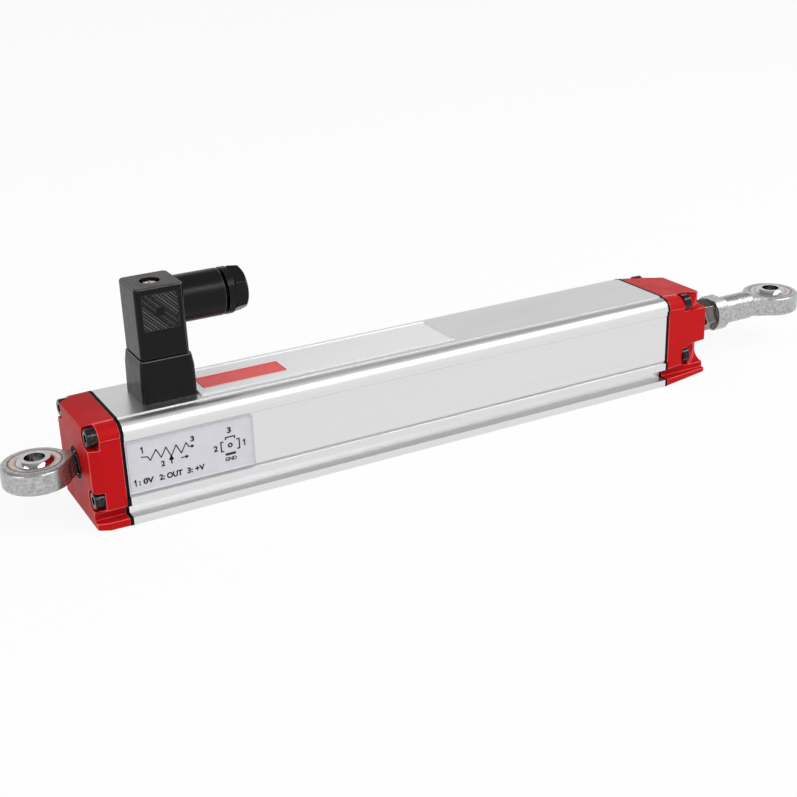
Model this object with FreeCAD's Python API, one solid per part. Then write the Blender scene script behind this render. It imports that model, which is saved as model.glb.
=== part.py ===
import FreeCAD, Part
import math
import os
from FreeCAD import Vector

# Linear displacement sensor: a potentiometer in an extruded profile, with a push rod and two rod ends.
# Millimetres. The origin is the centre of the fixed eye, +X runs along the rod, +Z is up.

# Profile and its place along the rod axis
PROFILE_WIDTH = 33.0
PROFILE_HEIGHT = 31.5
AXIS_BELOW_TOP = 15.75
WALL = 2.2
TOP_STEP = 0.35
TOP_LEDGE = 0.8
CORNER_WIDTH = 4.0
CORNER_DROP = 3.8
SIDE_STEP = 0.4
BAND_HEIGHT = 1.6
LABEL_RECESS = 0.3
RIDGE_TOP = 8.7
RIDGE_BOTTOM = 6.0
NOTCH_DEPTH = 0.45
GROOVE_DEPTH = 3.4
GROOVE_FALL = 1.5
FLANGE_HEIGHT = 2.4
FLANGE_PROUD = 0.2
CAVITY_STEP = 7.9

# Screws of the end caps and their channels in the profile
SCREW_R = 1.5
SCREW_HEAD_R = 2.75
SCREW_HEAD_HEIGHT = 3.0
SCREW_HEX = 2.5
SCREW_GRIP = 10.0
SCREW_FIT = 0.03
HOLE_FIT = 0.2
HEAD_FIT = 0.6
CHANNEL_WALL = 1.5
CHANNEL_SLIT = 1.5
UPPER_SCREW_SIDE = 3.5
UPPER_SCREW_TOP = 3.5
LOWER_SCREW_SIDE = 3.2
LOWER_SCREW_H = 8.9
LOWER_WINDOW = 5.2

# End caps and gaskets
GASKET = 1.0
REAR_CAP_DEPTH = 9.3
FRONT_CAP_DEPTH = 18.2
REAR_SEAT = 6.1
REAR_SLOPE_START = 5.9
REAR_SLOPE_INSET = 0.1
REAR_DRAW_IN = 0.85
FRONT_SEAT = 7.3
FRONT_DRAW_IN = 2.0
CAP_EDGE = 0.6
EDGE_DRAW_IN = 0.4
BOTTOM_DRAW_IN = 0.45
RELIEF_TOP_DROP = 6.6
BLOCK_BOTTOM = 12.8
RELIEF_DEPTH = 7.6
RELIEF_R = 4.6
RELIEF_REACH = 3.0
RELIEF_START = 0.3
GASKET_RIM = 6.7
GASKET_BOTTOM_RIM = 5.0
GASKET_TOP_RIM = 5.1
RECESS_R = 5.0
RECESS_DEPTH = 4.6

# Rod ends, size 6
EYE_R = 3.0
BALL_R = 6.35
BALL_WIDTH = 9.0
BALL_FIT = 0.05
RACE_R = 7.4
HEAD_R = 10.0
HEAD_THICKNESS = 6.75
HEAD_EDGE = 1.1
THREAD_R = 3.0
THREAD_FIT = 0.03
EYE_TO_CAP = 11.4
FIXED_NECK_R = 3.7
FIXED_NECK_LENGTH = 10.7
FIXED_LENGTH = 36.0
NUT_FLATS = 10.0
NUT_HEIGHT = 5.0
NUT_CHAMFER = 0.55
NUT_FACE_SHARE = 0.97
JAM_NUT_TURN = 12.0
NUT_TO_CAP = 8.1
ROD_END_LENGTH = 30.0
ROD_END_SHANK_R = 5.0
COLLAR_R = 6.5
COLLAR_FLATS = 11.0
COLLAR_LENGTH = 5.0
SHANK_LENGTH = 18.0
SOCKET_DEPTH = 13.0
THREAD_ENGAGED = 11.0
NECK_DRAFT_SHARE = 1.05
SHANK_NECK_SHARE = 0.94
SHANK_ROOT_SHARE = 0.3
INSERT_R = 4.6

# Rod, bearing and carriage
ROD_R = 3.0
RUN_FIT = 0.05
STROKE = 125.0
STOP_GAP = 0.3
CARRIAGE_LENGTH = 26.0
CARRIAGE_SIDE_GAP = 0.7
CARRIAGE_BELOW_AXIS = 6.75
CARRIAGE_TO_BOARD = 1.7
RUNNER_OVER_CHANNEL = 1.3
RUNNER_UNDER_SLOT = 3.3
RUNNER_GAP = 0.1
POCKET_R = 6.0
POCKET_DEPTH = 6.0
CLIP_R = 5.0
CLIP_THICKNESS = 1.0
CLIP_GAP = 0.05
ROD_TAIL = 3.0
SPIGOT_R = 6.8
SPIGOT_LENGTH = 20.55
SPIGOT_LIP = 1.0
BUSH_WALL = 1.4
BUSH_LENGTH = 26.0
RING_R = 0.95
RING_FIT = 0.05
SEAL_R = 5.4
SEAL_DEPTH = 4.0
SEAL_LIP = 0.6
SEAL_LIP_WALL = 1.55
SEAL_TIP_WALL = 0.85
BUMPER_LENGTH = 4.5
BUMPER_R = 6.5
BUMPER_CLEAR = 0.6
REAR_BUMPER_LENGTH = 7.0
REAR_BUMPER_FLOOR = 1.0

# Track board and wipers
BOARD_SIDE_GAP = 1.3
BOARD_THICKNESS = 1.6
BOARD_TO_CEILING = 4.8
BOARD_START = 4.0
BOARD_END_GAP = 1.0
SLOT_FIT = 0.1
RIB_THICKNESS = 1.1
RIB_WIDTH = 2.0
TRACK_THICKNESS = 0.15
TRACK_WIDTH = 5.0
TRACK_OFFSET = 4.5
TRACK_END = 2.0
WIPER_GAP = 0.1
WIPER_THICKNESS = 0.3
WIPER_LENGTH = 9.0
WIPER_FOOT = 3.6
WIPER_TIP = 1.8
FINGER_LAP = 0.5
FINGER_WIDTH = 0.8
FINGER_COUNT = 4

# Connector on the top of the profile
CONNECTOR_X = 17.1
BASE_SIDE = 16.0
BASE_TOP_SIDE = 14.9
BASE_WALL_HEIGHT = 10.2
BASE_HEIGHT = 12.9
BASE_FLOOR = 5.0
BASE_HOLLOW = 3.0
BASE_TOP_TRIM = 0.4
SOCKET_SIDE = 12.0
SOCKET_CORNER_R = 1.0
WIRE_HOLE_R = 3.3
CORNER_R = 1.6
PLUG_LENGTH_X = 14.0
PLUG_LENGTH_Y = 14.6
PLUG_HEIGHT = 21.2
PLUG_WALL = 1.6
PLUG_ROOF = 3.6
PLUG_EDGE = 0.7
PLUG_GASKET = 0.5
PLUG_GASKET_TRIM = 0.6
INSERT_SIDE = 10.6
INSERT_DROP = 6.5
INSERT_RISE = 5.0
PANEL_SIDE = 10.4
PANEL_TOP_MARGIN = 2.0
PANEL_DEPTH = 0.7
PANEL_RIB_DROP = 0.15
PANEL_RIBS = 9
PANEL_RIB_WIDTH = 0.55
PANEL_BOSS = 2.8
PLUG_SCREW_R = 1.25
PLUG_SCREW_HEAD_R = 2.5
PLUG_SCREW_HEAD_HEIGHT = 1.6
PLUG_SCREW_RECESS_R = 3.0
PLUG_SCREW_RECESS = 2.4
PLUG_SCREW_SLOT = 0.6
PLUG_SCREW_FIT = 0.2
PLUG_SCREW_TIP = 0.5
PIN_WIDTH = 0.8
PIN_LENGTH = 2.6
PIN_HEIGHT = 7.0
PIN_REACH = 3.4
INSERT_CORNER_R = 0.9
GLAND_R = 7.0
GLAND_DROP = 7.0
GLAND_LENGTH = 13.8
GLAND_BORE_R = 5.3
GLAND_NARROW_R = 4.1
GLAND_NARROW_START = 2.0
GLAND_CHAMFER = 0.8
GLAND_RING = 2.3
GLAND_GROOVE = 0.4
GLAND_HEX_FLATS = 12.6
GLAND_HEX_LENGTH = 5.0
GLAND_HEX_TURN = 30.0
GLAND_HEX_CORNER_TRIM = 0.11
GLAND_HEX_FACE_TRIM = 0.25
GLAND_SPIGOT = 5.0
GLAND_SPIGOT_FIT = 0.1
NUT_BORE_R = 3.7
CABLE_R = 2.75
GLAND_SEAL_LENGTH = 5.0
GLAND_WASHER = 0.8
WIRE_R = 0.45
WIRE_PITCH = 2.6
WIRE_BOW = 0.9
WIRE_BACK = 2.04
BASE_SCREW_R = 1.0
BASE_SCREW_HEAD_R = 1.6
BASE_SCREW_HEAD = 1.1
BASE_SCREW_REACH = 4.3
BASE_SCREW_TIP = 0.5
CLIP_GROOVE = 0.7
CLIP_OPENING = 3.6

# Places that follow from the sizes above
AXIS_HEIGHT = PROFILE_HEIGHT - AXIS_BELOW_TOP
CAP_FACE_X = EYE_TO_CAP
REAR_CAP_X = CAP_FACE_X + REAR_CAP_DEPTH
PROFILE_X = REAR_CAP_X + GASKET
REAR_BUMPER_END_X = FIXED_LENGTH + REAR_BUMPER_FLOOR
CARRIAGE_X = REAR_BUMPER_END_X + STOP_GAP
CARRIAGE_END_X = CARRIAGE_X + CARRIAGE_LENGTH
WEB_X = CARRIAGE_X + POCKET_DEPTH
ROD_START_X = WEB_X - CLIP_GAP - CLIP_THICKNESS - ROD_TAIL
BUMPER_X = CARRIAGE_END_X + CLIP_GAP + CLIP_THICKNESS + STROKE + STOP_GAP
SPIGOT_X = BUMPER_X + BUMPER_LENGTH
FRONT_CAP_X = SPIGOT_X + SPIGOT_LENGTH
FRONT_FACE_X = FRONT_CAP_X + FRONT_CAP_DEPTH
PROFILE_END_X = FRONT_CAP_X - GASKET
PROFILE_LENGTH = PROFILE_END_X - PROFILE_X
JOINT_FACE_X = FRONT_FACE_X + NUT_TO_CAP + NUT_HEIGHT
EYE_DISTANCE = JOINT_FACE_X + ROD_END_LENGTH
ROD_END_X = JOINT_FACE_X + THREAD_ENGAGED
BUSH_X = SPIGOT_X + SPIGOT_LIP
BUSH_END_X = BUSH_X + BUSH_LENGTH
CONNECTOR_CENTRE_X = PROFILE_X + CONNECTOR_X
BASE_Z = AXIS_BELOW_TOP
PLUG_Z = BASE_Z + BASE_HEIGHT
PLUG_TOP_Z = PLUG_Z + PLUG_HEIGHT
GLAND_Z = PLUG_TOP_Z - GLAND_DROP
PLUG_SIDE_X = CONNECTOR_CENTRE_X + PLUG_LENGTH_X / 2
GLAND_END_X = PLUG_SIDE_X + GLAND_LENGTH
GLAND_SEAL_END_X = GLAND_END_X - GLAND_SPIGOT - GLAND_WASHER
SIDE_Y = PROFILE_WIDTH / 2
INNER_HALF_WIDTH = SIDE_Y - WALL
UPPER_SCREW_Y = SIDE_Y - UPPER_SCREW_SIDE
UPPER_SCREW_H = PROFILE_HEIGHT - UPPER_SCREW_TOP
LOWER_SCREW_Y = SIDE_Y - LOWER_SCREW_SIDE
BLOCK_TOP = PROFILE_HEIGHT - RELIEF_TOP_DROP
CHANNEL_R = SCREW_R + CHANNEL_WALL
CEILING_H = PROFILE_HEIGHT - WALL
BOARD_TOP = CEILING_H - BOARD_TO_CEILING
BOARD_BOTTOM = BOARD_TOP - BOARD_THICKNESS
BOARD_END_X = BUMPER_X - BOARD_END_GAP
TRACK_BOTTOM = BOARD_BOTTOM - TRACK_THICKNESS
CARRIAGE_TOP = BOARD_BOTTOM - CARRIAGE_TO_BOARD
CARRIAGE_HALF_WIDTH = min(UPPER_SCREW_Y, LOWER_SCREW_Y) - CHANNEL_R - CARRIAGE_SIDE_GAP
HEX_TO_CORNER = 2 / math.sqrt(3)
# How far cutting tools reach past the faces they cut
PAST = 1.0


def height(h):
    """Height above the resting face, as a Z coordinate."""
    return h - AXIS_HEIGHT


def block(x0, x1, y0, y1, z0, z1):
    return Part.makeBox(x1 - x0, y1 - y0, z1 - z0, Vector(x0, y0, z0))


def bar(x0, x1, half_width, h0, h1):
    """Block along the profile, centred on the mid-plane, with heights from the resting face."""
    return block(x0, x1, -half_width, half_width, height(h0), height(h1))


def round_x(x0, x1, r, y=0.0, z=0.0):
    return Part.makeCylinder(r, x1 - x0, Vector(x0, y, z), Vector(1, 0, 0))


def round_z(z0, z1, r, x=0.0, y=0.0):
    return Part.makeCylinder(r, z1 - z0, Vector(x, y, z0), Vector(0, 0, 1))


def ring_x(x0, x1, r, bore, y=0.0, z=0.0):
    return round_x(x0, x1, r, y, z).cut(round_x(x0 - PAST, x1 + PAST, bore, y, z))


def cone_x(x0, x1, r0, r1):
    return Part.makeCone(r0, r1, x1 - x0, Vector(x0, 0, 0), Vector(1, 0, 0))


def hexagon_x(x0, x1, flats, y=0.0, z=0.0, turn=0.0):
    """Hexagonal prism along X, with a corner towards +Y when turn is 0."""
    r = flats / 2 * HEX_TO_CORNER
    points = []
    for corner in range(7):
        a = math.radians(60 * corner + turn)
        points.append(Vector(x0, y + r * math.cos(a), z + r * math.sin(a)))
    return Part.Face(Part.makePolygon(points)).extrude(Vector(x1 - x0, 0, 0))


def hex_nut(x0, x1, flats, bore, chamfer, turn=0.0):
    """Hexagon whose corners are turned down at both faces."""
    body = hexagon_x(x0, x1, flats, turn=turn)
    corner = flats / 2 * HEX_TO_CORNER
    face = flats / 2 * NUT_FACE_SHARE
    turned = cone_x(x0, x0 + chamfer, face, corner)
    turned = turned.fuse(round_x(x0 + chamfer, x1 - chamfer, corner))
    turned = turned.fuse(cone_x(x1 - chamfer, x1, corner, face))
    return body.common(turned).cut(round_x(x0 - PAST, x1 + PAST, bore))


def save(node, *solids):
    """Write the solids of one node to its STEP file."""
    shape = solids[0] if len(solids) == 1 else Part.makeCompound(list(solids))
    for solid in shape.Solids:
        if not solid.isValid():
            raise ValueError(node + " has a broken solid")
    shape.exportStep("parts/" + node + ".step")


def outline(x, inset=0.0, label_side=True):
    """Outer outline at x, drawn in by inset on each side. The label side has the profile's shallow recess."""
    side = SIDE_Y - inset
    top = PROFILE_HEIGHT - inset
    flat = side - CORNER_WIDTH - TOP_LEDGE
    ledge = flat + TOP_LEDGE
    top_ledge = top - TOP_STEP
    shoulder = top_ledge - CORNER_DROP
    band = shoulder - BAND_HEIGHT
    groove = SIDE_Y - GROOVE_DEPTH
    recess = side - SIDE_STEP - LABEL_RECESS
    flange = side + FLANGE_PROUD
    bottom = inset * BOTTOM_DRAW_IN
    middle_y = ledge + (side - ledge) * math.sin(math.pi / 4)
    middle_h = shoulder + CORNER_DROP * math.sin(math.pi / 4)

    def edges(sign):
        def at(y, h):
            return Vector(x, sign * y, height(h))
        path = [at(0, top), at(flat, top), at(flat, top_ledge), at(ledge, top_ledge)]
        first = [Part.LineSegment(a, b).toShape() for a, b in zip(path, path[1:])]
        corner = Part.Arc(at(ledge, top_ledge), at(middle_y, middle_h), at(side, shoulder)).toShape()
        path = [at(side, shoulder), at(side - SIDE_STEP, shoulder)]
        if label_side:
            path.append(at(side - SIDE_STEP, band))
            path.append(at(recess, band - LABEL_RECESS))
            path.append(at(recess, RIDGE_TOP + NOTCH_DEPTH))
            path.append(at(recess - NOTCH_DEPTH, RIDGE_TOP))
            path.append(at(side, RIDGE_TOP - NOTCH_DEPTH / 2))
            path.append(at(side, RIDGE_BOTTOM))
        else:
            path.append(at(side - SIDE_STEP, RIDGE_BOTTOM))
        path.append(at(groove, RIDGE_BOTTOM - GROOVE_FALL))
        path.append(at(groove, FLANGE_HEIGHT))
        path.append(at(flange, FLANGE_HEIGHT))
        path.append(at(flange, bottom))
        path.append(at(0, bottom))
        rest = [Part.LineSegment(a, b).toShape() for a, b in zip(path, path[1:])]
        return first + [corner] + rest

    return Part.Wire(Part.__sortEdges__(edges(1) + edges(-1)))


def screw_places():
    """Y and Z of the four cap screws."""
    places = []
    for y, h in ((UPPER_SCREW_Y, UPPER_SCREW_H), (LOWER_SCREW_Y, LOWER_SCREW_H)):
        places.append((y, height(h)))
        places.append((-y, height(h)))
    return places


def profile_tube():
    """Extruded profile with clamp grooves, screw channels and slots for the track board."""
    x0 = PROFILE_X
    x1 = PROFILE_END_X
    tube = Part.Face(outline(x0)).extrude(Vector(PROFILE_LENGTH, 0, 0))
    cavity = bar(x0 - PAST, x1 + PAST, INNER_HALF_WIDTH, CAVITY_STEP, CEILING_H)
    cavity = cavity.fuse(bar(x0 - PAST, x1 + PAST, SIDE_Y - GROOVE_DEPTH - WALL, WALL, CAVITY_STEP + PAST))
    for y, z in screw_places():
        cavity = cavity.cut(round_x(x0 - PAST, x1 + PAST, CHANNEL_R, y, z))
    slot_bottom = BOARD_BOTTOM - SLOT_FIT
    slot_top = BOARD_TOP + SLOT_FIT
    for side in (-1, 1):
        outer = side * (INNER_HALF_WIDTH + PAST)
        inner = side * (INNER_HALF_WIDTH - RIB_WIDTH)
        y0 = min(outer, inner)
        y1 = max(outer, inner)
        low = block(x0 - PAST, x1 + PAST, y0, y1, height(slot_bottom - RIB_THICKNESS), height(slot_bottom))
        high = block(x0 - PAST, x1 + PAST, y0, y1, height(slot_top), height(slot_top + RIB_THICKNESS))
        cavity = cavity.cut(low).cut(high)
    tube = tube.cut(cavity)
    for y, z in screw_places():
        tube = tube.cut(round_x(x0 - PAST, x1 + PAST, SCREW_R + SCREW_FIT, y, z))
        inward = -math.copysign(CHANNEL_R + PAST, y)
        y0 = min(y, y + inward)
        y1 = max(y, y + inward)
        tube = tube.cut(block(x0 - PAST, x1 + PAST, y0, y1, z - CHANNEL_SLIT / 2, z + CHANNEL_SLIT / 2))
    tube = tube.cut(round_z(height(CEILING_H) - PAST, BASE_Z + PAST, WIRE_HOLE_R, CONNECTOR_CENTRE_X))
    for x, y in base_screw_places():
        tube = tube.cut(round_z(height(CEILING_H) - PAST, BASE_Z + PAST, BASE_SCREW_R + SCREW_FIT, x, y))
    return tube


def gasket(x0):
    """Flat seal with the profile's outline, a window and four screw holes."""
    seal = Part.Face(outline(x0)).extrude(Vector(GASKET, 0, 0))
    window_top = PROFILE_HEIGHT - GASKET_TOP_RIM
    window = bar(x0 - PAST, x0 + GASKET + PAST, SIDE_Y - GASKET_RIM, GASKET_BOTTOM_RIM, window_top)
    seal = seal.cut(window)
    for y, z in screw_places():
        seal = seal.cut(round_x(x0 - PAST, x0 + GASKET + PAST, SCREW_R + HOLE_FIT, y, z))
    return seal


def relief(start, face_x):
    """The front cap's corner reliefs: slanted in plan, open at the side, rounded under the lower screws."""
    side = -SIDE_Y - RELIEF_REACH
    inner = -SIDE_Y + RELIEF_DEPTH
    lean = (face_x - start) / RELIEF_DEPTH * RELIEF_REACH
    x0 = start - lean
    x1 = face_x + lean
    x2 = x1 + RELIEF_REACH
    points = [
        Vector(x0, side, 0),
        Vector(x1, inner + RELIEF_REACH, 0),
        Vector(x2, inner + RELIEF_REACH, 0),
        Vector(x2, side, 0),
    ]
    wedge = Part.Face(Part.makePolygon(points + points[:1]))
    top = wedge.copy()
    top.translate(Vector(0, 0, height(BLOCK_TOP)))
    top = top.extrude(Vector(0, 0, PROFILE_HEIGHT - BLOCK_TOP + PAST))
    low = wedge.copy()
    low.translate(Vector(0, 0, height(LOWER_SCREW_H - RELIEF_R)))
    low = low.extrude(Vector(0, 0, BLOCK_BOTTOM - LOWER_SCREW_H + RELIEF_R))
    lower_z = height(LOWER_SCREW_H)
    mouth = round_x(x0, x2, RELIEF_R, -LOWER_SCREW_Y, lower_z)
    mouth = mouth.fuse(block(x0, x2, side, RELIEF_R - LOWER_SCREW_Y, lower_z, height(BLOCK_BOTTOM)))
    mouth = mouth.fuse(block(x0, x2, side, -LOWER_SCREW_Y, lower_z - RELIEF_R, lower_z))
    one_side = top.fuse(low.common(mouth))
    other_side = one_side.mirror(Vector(0, 0, 0), Vector(0, 1, 0))
    return one_side.fuse(other_side)


def cap_body(inner_x, out, stages, seat):
    """Moulded cap lofted through its stages, each a depth and an inset, with the four screw holes."""
    outlines = [outline(inner_x + out * depth, inset, False) for depth, inset in stages]
    body = Part.makeLoft(outlines[:2], True, True)
    for near, far in zip(outlines[1:], outlines[2:]):
        body = body.fuse(Part.makeLoft([near, far], True, True))
    seat_x = inner_x + out * seat
    face_x = inner_x + out * stages[-1][0]
    for y, z in screw_places():
        ends = sorted((seat_x, face_x + out * PAST))
        body = body.cut(round_x(ends[0], ends[1], SCREW_HEAD_R + HEAD_FIT, y, z))
        ends = sorted((inner_x - out, seat_x + out))
        body = body.cut(round_x(ends[0], ends[1], SCREW_R + HOLE_FIT, y, z))
    return body


def front_cap():
    """Front cap with its bearing spigot, seal seat and rod hole."""
    knee = FRONT_CAP_DEPTH - CAP_EDGE
    stages = [(0, 0), (knee, FRONT_DRAW_IN), (FRONT_CAP_DEPTH, FRONT_DRAW_IN + EDGE_DRAW_IN)]
    cap = cap_body(FRONT_CAP_X, 1, stages, FRONT_SEAT)
    cap = cap.cut(relief(FRONT_CAP_X + FRONT_SEAT + RELIEF_START, FRONT_FACE_X))
    cap = cap.fuse(round_x(SPIGOT_X, FRONT_CAP_X + PAST, SPIGOT_R))
    cap = cap.cut(round_x(BUSH_X, BUSH_END_X, ROD_R + RUN_FIT + BUSH_WALL))
    cap = cap.cut(round_x(SPIGOT_X - PAST, FRONT_FACE_X + PAST, ROD_R + BUMPER_CLEAR))
    ring_end = BUSH_END_X + 2 * (RING_R + RING_FIT)
    cap = cap.cut(round_x(BUSH_END_X, ring_end, ROD_R + RUN_FIT + 2 * RING_R))
    cap = cap.cut(round_x(FRONT_FACE_X - SEAL_DEPTH, FRONT_FACE_X + PAST, SEAL_R))
    return cap.removeSplitter()


def rear_cap():
    """Rear cap with open screw seats, the recess round the rod end's neck and its insert's seat."""
    knee = REAR_CAP_DEPTH - CAP_EDGE
    stages = [(0, 0), (REAR_SLOPE_START, REAR_SLOPE_INSET), (knee, REAR_DRAW_IN)]
    stages.append((REAR_CAP_DEPTH, REAR_DRAW_IN + EDGE_DRAW_IN))
    cap = cap_body(REAR_CAP_X, -1, stages, REAR_SEAT)
    x0 = CAP_FACE_X - PAST
    x1 = REAR_CAP_X - REAR_SEAT
    for y, z in screw_places():
        half = SCREW_HEAD_R + HEAD_FIT if z > 0 else LOWER_WINDOW / 2
        ends = sorted((y, math.copysign(SIDE_Y + PAST, y)))
        cap = cap.cut(block(x0, x1, ends[0], ends[1], z - half, z + half))
    cap = cap.cut(round_x(CAP_FACE_X - PAST, CAP_FACE_X + RECESS_DEPTH, RECESS_R))
    cap = cap.cut(round_x(CAP_FACE_X + PAST, REAR_CAP_X + PAST, INSERT_R))
    return cap.removeSplitter()


def cap_screws(inner_x, out, seat):
    """Four socket head screws of one cap."""
    seat_x = inner_x + out * seat
    screws = []
    for y, z in screw_places():
        head = sorted((seat_x, seat_x + out * SCREW_HEAD_HEIGHT))
        shank = sorted((seat_x, inner_x - out * (GASKET + SCREW_GRIP)))
        screw = round_x(head[0], head[1], SCREW_HEAD_R, y, z)
        screw = screw.fuse(round_x(shank[0], shank[1], SCREW_R, y, z))
        socket = sorted((seat_x + out * SCREW_HEAD_HEIGHT / 2, seat_x + out * (SCREW_HEAD_HEIGHT + PAST)))
        screw = screw.cut(hexagon_x(socket[0], socket[1], SCREW_HEX, y, z))
        screws.append(screw.removeSplitter())
    return screws


def rod_bushing():
    """Plain bearing of the rod."""
    bore = ROD_R + RUN_FIT
    return ring_x(BUSH_X, BUSH_END_X, bore + BUSH_WALL, bore)


def rod_o_ring():
    """Round sealing ring behind the bushing."""
    x = BUSH_END_X + RING_FIT + RING_R
    return Part.makeTorus(ROD_R + RUN_FIT + RING_R, RING_R, Vector(x, 0, 0), Vector(1, 0, 0))


def rod_wiper_seal():
    """Wiper ring in the front face, with a lip that stands a little proud."""
    x0 = FRONT_FACE_X - SEAL_DEPTH
    body = ring_x(x0, FRONT_FACE_X, SEAL_R, ROD_R + RUN_FIT)
    lip = cone_x(FRONT_FACE_X, FRONT_FACE_X + SEAL_LIP, ROD_R + SEAL_LIP_WALL, ROD_R + SEAL_TIP_WALL)
    lip = lip.cut(round_x(FRONT_FACE_X - PAST, FRONT_FACE_X + SEAL_LIP + PAST, ROD_R + RUN_FIT))
    return body.fuse(lip).removeSplitter()


def front_bumper():
    return ring_x(BUMPER_X, SPIGOT_X, BUMPER_R, ROD_R + BUMPER_CLEAR)


def rear_bumper():
    """Rubber cup pushed over the end of the fixed shank."""
    x1 = REAR_BUMPER_END_X
    cup = round_x(x1 - REAR_BUMPER_LENGTH, x1, BUMPER_R)
    return cup.cut(round_x(x1 - REAR_BUMPER_LENGTH - PAST, FIXED_LENGTH, THREAD_R + THREAD_FIT))


def track_board():
    """Insulating board that slides into the profile's slots."""
    half_width = INNER_HALF_WIDTH - BOARD_SIDE_GAP
    return bar(PROFILE_X + BOARD_START, BOARD_END_X, half_width, BOARD_BOTTOM, BOARD_TOP)


def track(side):
    """One printed strip on the underside of the board."""
    x0 = PROFILE_X + BOARD_START + TRACK_END
    x1 = BOARD_END_X - TRACK_END
    y = side * TRACK_OFFSET
    half = TRACK_WIDTH / 2
    return block(x0, x1, y - half, y + half, height(TRACK_BOTTOM), height(BOARD_BOTTOM))


def wiper_carriage():
    """Moulded carriage with a runner on each side and a pocket for the rod's tail."""
    x0 = CARRIAGE_X
    x1 = CARRIAGE_END_X
    bottom = AXIS_HEIGHT - CARRIAGE_BELOW_AXIS
    body = bar(x0, x1, CARRIAGE_HALF_WIDTH, bottom, CARRIAGE_TOP)
    runner_bottom = LOWER_SCREW_H + CHANNEL_R + RUNNER_OVER_CHANNEL
    runner_top = BOARD_BOTTOM - SLOT_FIT - RIB_THICKNESS - RUNNER_UNDER_SLOT
    body = body.fuse(bar(x0, x1, INNER_HALF_WIDTH - RUNNER_GAP, runner_bottom, runner_top))
    body = body.cut(round_x(x0 - PAST, WEB_X, POCKET_R))
    body = body.cut(round_x(x0 - PAST, x1 + PAST, ROD_R + RUN_FIT))
    return body.removeSplitter()


def wiper_springs():
    """Two sprung combs, one for each strip, screwed flat on the carriage with their tips raised."""
    combs = []
    top = height(CARRIAGE_TOP)
    tip = height(TRACK_BOTTOM - WIPER_GAP)
    x0 = CARRIAGE_X + CARRIAGE_LENGTH / 2 - WIPER_LENGTH
    foot_end = x0 + WIPER_FOOT
    tip_start = x0 + WIPER_LENGTH - WIPER_TIP
    pitch = (TRACK_WIDTH - FINGER_WIDTH) / FINGER_COUNT
    for side in (-1, 1):
        y = side * TRACK_OFFSET
        comb = block(x0, foot_end, y - TRACK_WIDTH / 2, y + TRACK_WIDTH / 2, top, top + WIPER_THICKNESS)
        for finger in range(FINGER_COUNT):
            y0 = y - pitch * (FINGER_COUNT - 1) / 2 + finger * pitch - FINGER_WIDTH / 2
            points = [
                Vector(foot_end - FINGER_LAP, y0, top),
                Vector(foot_end, y0, top),
                Vector(tip_start, y0, tip - WIPER_THICKNESS),
                Vector(x0 + WIPER_LENGTH, y0, tip - WIPER_THICKNESS),
                Vector(x0 + WIPER_LENGTH, y0, tip),
                Vector(tip_start, y0, tip),
                Vector(foot_end, y0, top + WIPER_THICKNESS),
                Vector(foot_end - FINGER_LAP, y0, top + WIPER_THICKNESS),
            ]
            blade = Part.Face(Part.makePolygon(points + points[:1])).extrude(Vector(0, FINGER_WIDTH, 0))
            comb = comb.fuse(blade)
        combs.append(comb.removeSplitter())
    return combs


def push_rod():
    """Ground rod with two ring grooves for its clips and a thread at the outer end."""
    rod = round_x(ROD_START_X, ROD_END_X, ROD_R)
    for x in clip_places():
        groove = ring_x(x, x + CLIP_THICKNESS, ROD_R + PAST, ROD_R - CLIP_GROOVE)
        rod = rod.cut(groove)
    return rod


def clip_places():
    """X of the two clips, one behind the carriage's web and one before its front face."""
    return (WEB_X - CLIP_GAP - CLIP_THICKNESS, CARRIAGE_END_X + CLIP_GAP)


def rod_clips():
    """Two open retaining rings that sit in the rod's grooves."""
    clips = []
    for x in clip_places():
        clip = ring_x(x, x + CLIP_THICKNESS, CLIP_R, ROD_R - CLIP_GROOVE)
        gap = block(x - PAST, x + CLIP_THICKNESS + PAST, 0, CLIP_R + PAST, -CLIP_OPENING / 2, CLIP_OPENING / 2)
        clips.append(clip.cut(gap))
    return clips


def race(x):
    """Ring of the spherical bearing, hollowed to the ball."""
    half = HEAD_THICKNESS / 2
    ring = round_z(-half, half, RACE_R, x)
    return ring.cut(Part.makeSphere(BALL_R + BALL_FIT, Vector(x, 0, 0)))


def bearing_ball(x):
    """Ball cut flat on both faces and bored for the pin."""
    ball = Part.makeSphere(BALL_R, Vector(x, 0, 0))
    half = BALL_WIDTH / 2
    slab = block(x - BALL_R - PAST, x + BALL_R + PAST, -BALL_R - PAST, BALL_R + PAST, -half, half)
    return ball.common(slab).cut(round_z(-half - PAST, half + PAST, EYE_R, x))


def eye_head(x):
    """Round head of a rod end with eased rims."""
    half = HEAD_THICKNESS / 2
    disc = round_z(-half, half, HEAD_R, x)
    rim = [edge for edge in disc.Edges if len(edge.Vertexes) == 1]
    return disc.makeFillet(HEAD_EDGE, rim)


def eye_hole(x):
    return round_z(-HEAD_THICKNESS, HEAD_THICKNESS, RACE_R, x)


def eye_neck(length, neck_r):
    """Neck of a rod end towards +X from its eye at the origin, tangent to the head in plan."""
    half = HEAD_THICKNESS / 2
    lean = math.acos((HEAD_R - neck_r) / length)
    head_x = HEAD_R * math.cos(lean)
    head_y = HEAD_R * math.sin(lean)
    end_x = length + neck_r * math.cos(lean)
    end_y = neck_r * math.sin(lean)
    plan = [
        Vector(head_x, -head_y, -half),
        Vector(end_x, -end_y, -half),
        Vector(end_x, end_y, -half),
        Vector(head_x, head_y, -half),
    ]
    neck = Part.Face(Part.makePolygon(plan + plan[:1])).extrude(Vector(0, 0, HEAD_THICKNESS))
    return neck.common(cone_x(0, length, HEAD_R * NECK_DRAFT_SHARE, neck_r))


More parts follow.
